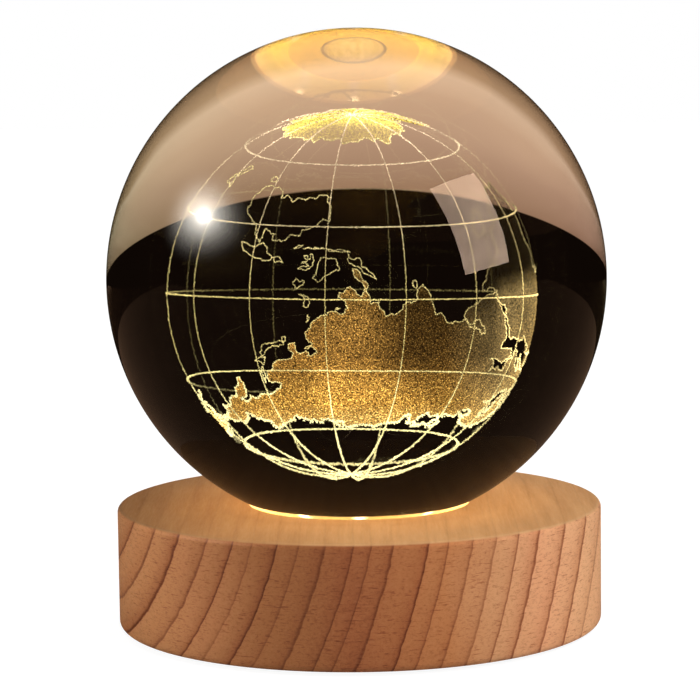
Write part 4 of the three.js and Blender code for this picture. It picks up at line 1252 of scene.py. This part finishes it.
# Surroundings, in metres. The camera sees pure white; glass and metal see the table and the dark room behind
room = {
    "tableSize": 6, "tableBack": 0.221, "tableNear": 0.05, "tableEdge": 0.003, "behind": (-0.02, 0.04),
    "table": [(0.0, "#9A7B62"), (0.345, "#B7967C"), (0.614, "#D2B092"), (0.74, "#E8C8A8"), (0.82, "#C4A27E"),
              (1.0, "#B89470")],
    "tableWander": (9.0, 2.0, 0.35), "tableMiddle": "#5E4632", "tableFront": "#5C4636",
    "tableSides": [(0.0, "#FFF4F6"), (0.5, "#FFFAF6"), (1.0, "#F0FFF4")], "sideSpan": (-0.2, 0.2),
    "plain": 0.9, "white": 0.93, "shadow": 0.2,
    "dark": "#0D0704", "domeRadius": 2.6, "domeSides": 48, "glowPatches": 6.0, "glowUneven": (0.75, 1.15),
    "card": "#FFDCC0", "cardCorners": [(430, 189), (474, 173), (509, 262), (465, 275)], "cardDistance": 1.2,
    "cardStrength": 15.0,
    "star": "#FFF8EC", "starPixel": (204, 216), "starDistance": 1.2, "starRadius": 0.42, "starWidth": 1.6,
    "starSides": 64, "starStrength": 3000.0, "starPower": 40.0, "haloStrength": 64.0, "haloPower": 3.4,
    "skyLight": 0.45,
}


def onlyInReflections(piece, transmission=True):
    piece.visible_camera = False
    piece.visible_diffuse = False
    piece.visible_shadow = False
    piece.visible_transmission = transmission


def anyRay(add, *names):
    rays = add("LightPath").node.outputs
    total = rays[names[0]]
    for name in names[1:]:
        total = add("Math maximum", (total, rays[name]))
    return total


def tableTop():
    material, add = newMaterial("table top")
    place = add("TexCoord", output="Object")
    x, y, z = add("SeparateXYZ", (place,)).node.outputs
    nearness = add("MapRange", (y, room["tableBack"], room["tableNear"]))
    evenTone = add("Math add", (nearness, wander(add, place, *room["tableWander"])))
    evenTone = add("ValToRGB", (evenTone,), stops=room["table"])
    sides = add("ValToRGB", (add("MapRange", (x, *room["sideSpan"])),), stops=room["tableSides"])
    onTable = (y, room["tableBack"], room["tableBack"] + room["tableEdge"], 1.0, 0.0)

    def mixed(share, first, second, kind="mix"):
        return add("Mix " + kind, {0: share, 6: first, 7: second}, **ofColours)

    tone = mixed(add("MapRange", (y, *room["behind"])), colour(room["tableMiddle"]), evenTone)
    tone = mixed(1.0, tone, sides, "multiply")
    tone = mixed(anyRay(add, "Is Reflection Ray"), tone, colour(room["tableFront"]))
    tone = mixed(add("MapRange", onTable), colour(room["dark"]), tone)
    # To the camera the table is white and keeps the shadow
    plain, shadow = [add("BsdfDiffuse", {"Color": grey(room[name])}) for name in ("plain", "shadow")]
    shown = add("AddShader", (add("Emission", {"Strength": room["white"]}), shadow))
    toCamera = add("MixShader", (anyRay(add, "Is Camera Ray"), plain, shown))
    throughGlass = anyRay(add, "Is Glossy Ray", "Is Transmission Ray")
    add("OutputMaterial", (add("MixShader", (throughGlass, toCamera, add("Emission", {"Color": tone}))),))
    return material


def glowing(name, code, strength):
    material, add = newMaterial(name, glows=True)
    place = add("TexCoord", output="Object")
    patches = add("TexNoise", {"Vector": place, "Scale": room["glowPatches"]})
    uneven = add("MapRange", (patches, *noiseSpan, *room["glowUneven"]))
    level = product(add, uneven, strength)
    add("OutputMaterial", (add("Emission", {"Color": colour(code), "Strength": level}),))
    return material


# A bare bulb's glint: bright in the middle, with a soft halo round it
def bulbGlow():
    material, add = newMaterial("bulb glow", glows=True)
    distance = add("VectorMath length", (add("TexCoord", output="Object"),), output="Value")
    near = add("MapRange", (distance, room["starRadius"], 0.0))
    sharp = add("Math power", (near, room["starPower"]))
    halo = product(add, add("Math power", (near, room["haloPower"])), room["haloStrength"])
    level = add("Math multiply_add", (sharp, room["starStrength"], halo))
    add("OutputMaterial", (add("Emission", {"Color": colour(room["star"]), "Strength": level}),))
    return material


bpy.ops.mesh.primitive_plane_add(size=room["tableSize"], location=(0, 0, 0))
floor = bpy.context.active_object
floor.name = "table_top"
dress(tableTop(), floor)

domeSides = room["domeSides"]
bpy.ops.mesh.primitive_uv_sphere_add(segments=domeSides, ring_count=domeSides // 2, radius=room["domeRadius"])
dome = bpy.context.active_object
dome.name = "dark_room"
dress(glowing("dark room", room["dark"], 1.0), dome)
onlyInReflections(dome)

cardMesh = bpy.data.meshes.new("soft_light_card")
corners = [reflectedPlace(*corner, room["cardDistance"]) for corner in room["cardCorners"]]
cardMesh.from_pydata(corners, [], [(0, 1, 2, 3)])
card = bpy.data.objects.new("soft_light_card", cardMesh)
bpy.context.collection.objects.link(card)
dress(glowing("soft light card", room["card"], room["cardStrength"]), card)
onlyInReflections(card, transmission=False)

starPlace = reflectedPlace(*room["starPixel"], room["starDistance"])
bpy.ops.mesh.primitive_circle_add(
    vertices=room["starSides"], radius=room["starRadius"], fill_type="TRIFAN", location=starPlace)
star = bpy.context.active_object
star.name = "bulb_glint"
star.rotation_euler = (ballCentre - starPlace).to_track_quat("Z", "Y").to_euler()
star.scale = (room["starWidth"], 1.0, 1.0)
dress(bulbGlow(), star)
onlyInReflections(star, transmission=False)

world = bpy.data.worlds.new("world")
bpy.context.scene.world = world
world.use_nodes = True
world.node_tree.nodes.clear()
addToWorld = partial(addNode, world.node_tree)
seen = anyRay(addToWorld, "Is Camera Ray", "Is Glossy Ray", "Is Transmission Ray")
skyLevel = addToWorld("MapRange", (seen, 0.0, 1.0, room["skyLight"], 1.0))
addToWorld("OutputWorld", (addToWorld("Background", {"Color": grey(1.0), "Strength": skyLevel}),))

# Lamps in metres: place, size, share of a full white level, and tone. The seat glow is the lamp's own light
# on the wood round the ball, in watts
lampAim = Vector((0, 0, 0.02))
softLamps = {
    "key": ((0.85, -0.65, 1.15), 0.8, 0.44, "#FFF6EC"),
    "fill": ((-0.9, -0.7, 0.5), 0.8, 0.22, "#FFF3E6"),
    "side": ((1.1, -0.25, 0.45), 0.6, 0.14, "#FFF3E6"),
}
seatLamp = {"place": (0, 0, 0.030), "power": 0.043, "size": 0.012, "tone": "#FFD094"}


def addLamp(data, place, tone):
    data.color = colour(tone)[:3]
    lamp = bpy.data.objects.new(data.name, data)
    bpy.context.collection.objects.link(lamp)
    lamp.location = place
    lamp.visible_glossy = False
    lamp.visible_transmission = False
    return lamp


for name, (place, size, share, tone) in softLamps.items():
    data = bpy.data.lights.new(name, "AREA")
    data.size = size
    data.energy = share * math.pi ** 2 * (Vector(place) - lampAim).length_squared
    addLamp(data, place, tone).rotation_euler = (lampAim - Vector(place)).to_track_quat("-Z", "Y").to_euler()

data = bpy.data.lights.new("seat glow", "POINT")
data.energy = seatLamp["power"]
data.shadow_soft_size = seatLamp["size"]
addLamp(data, seatLamp["place"], seatLamp["tone"])
print("stage and lamps set")
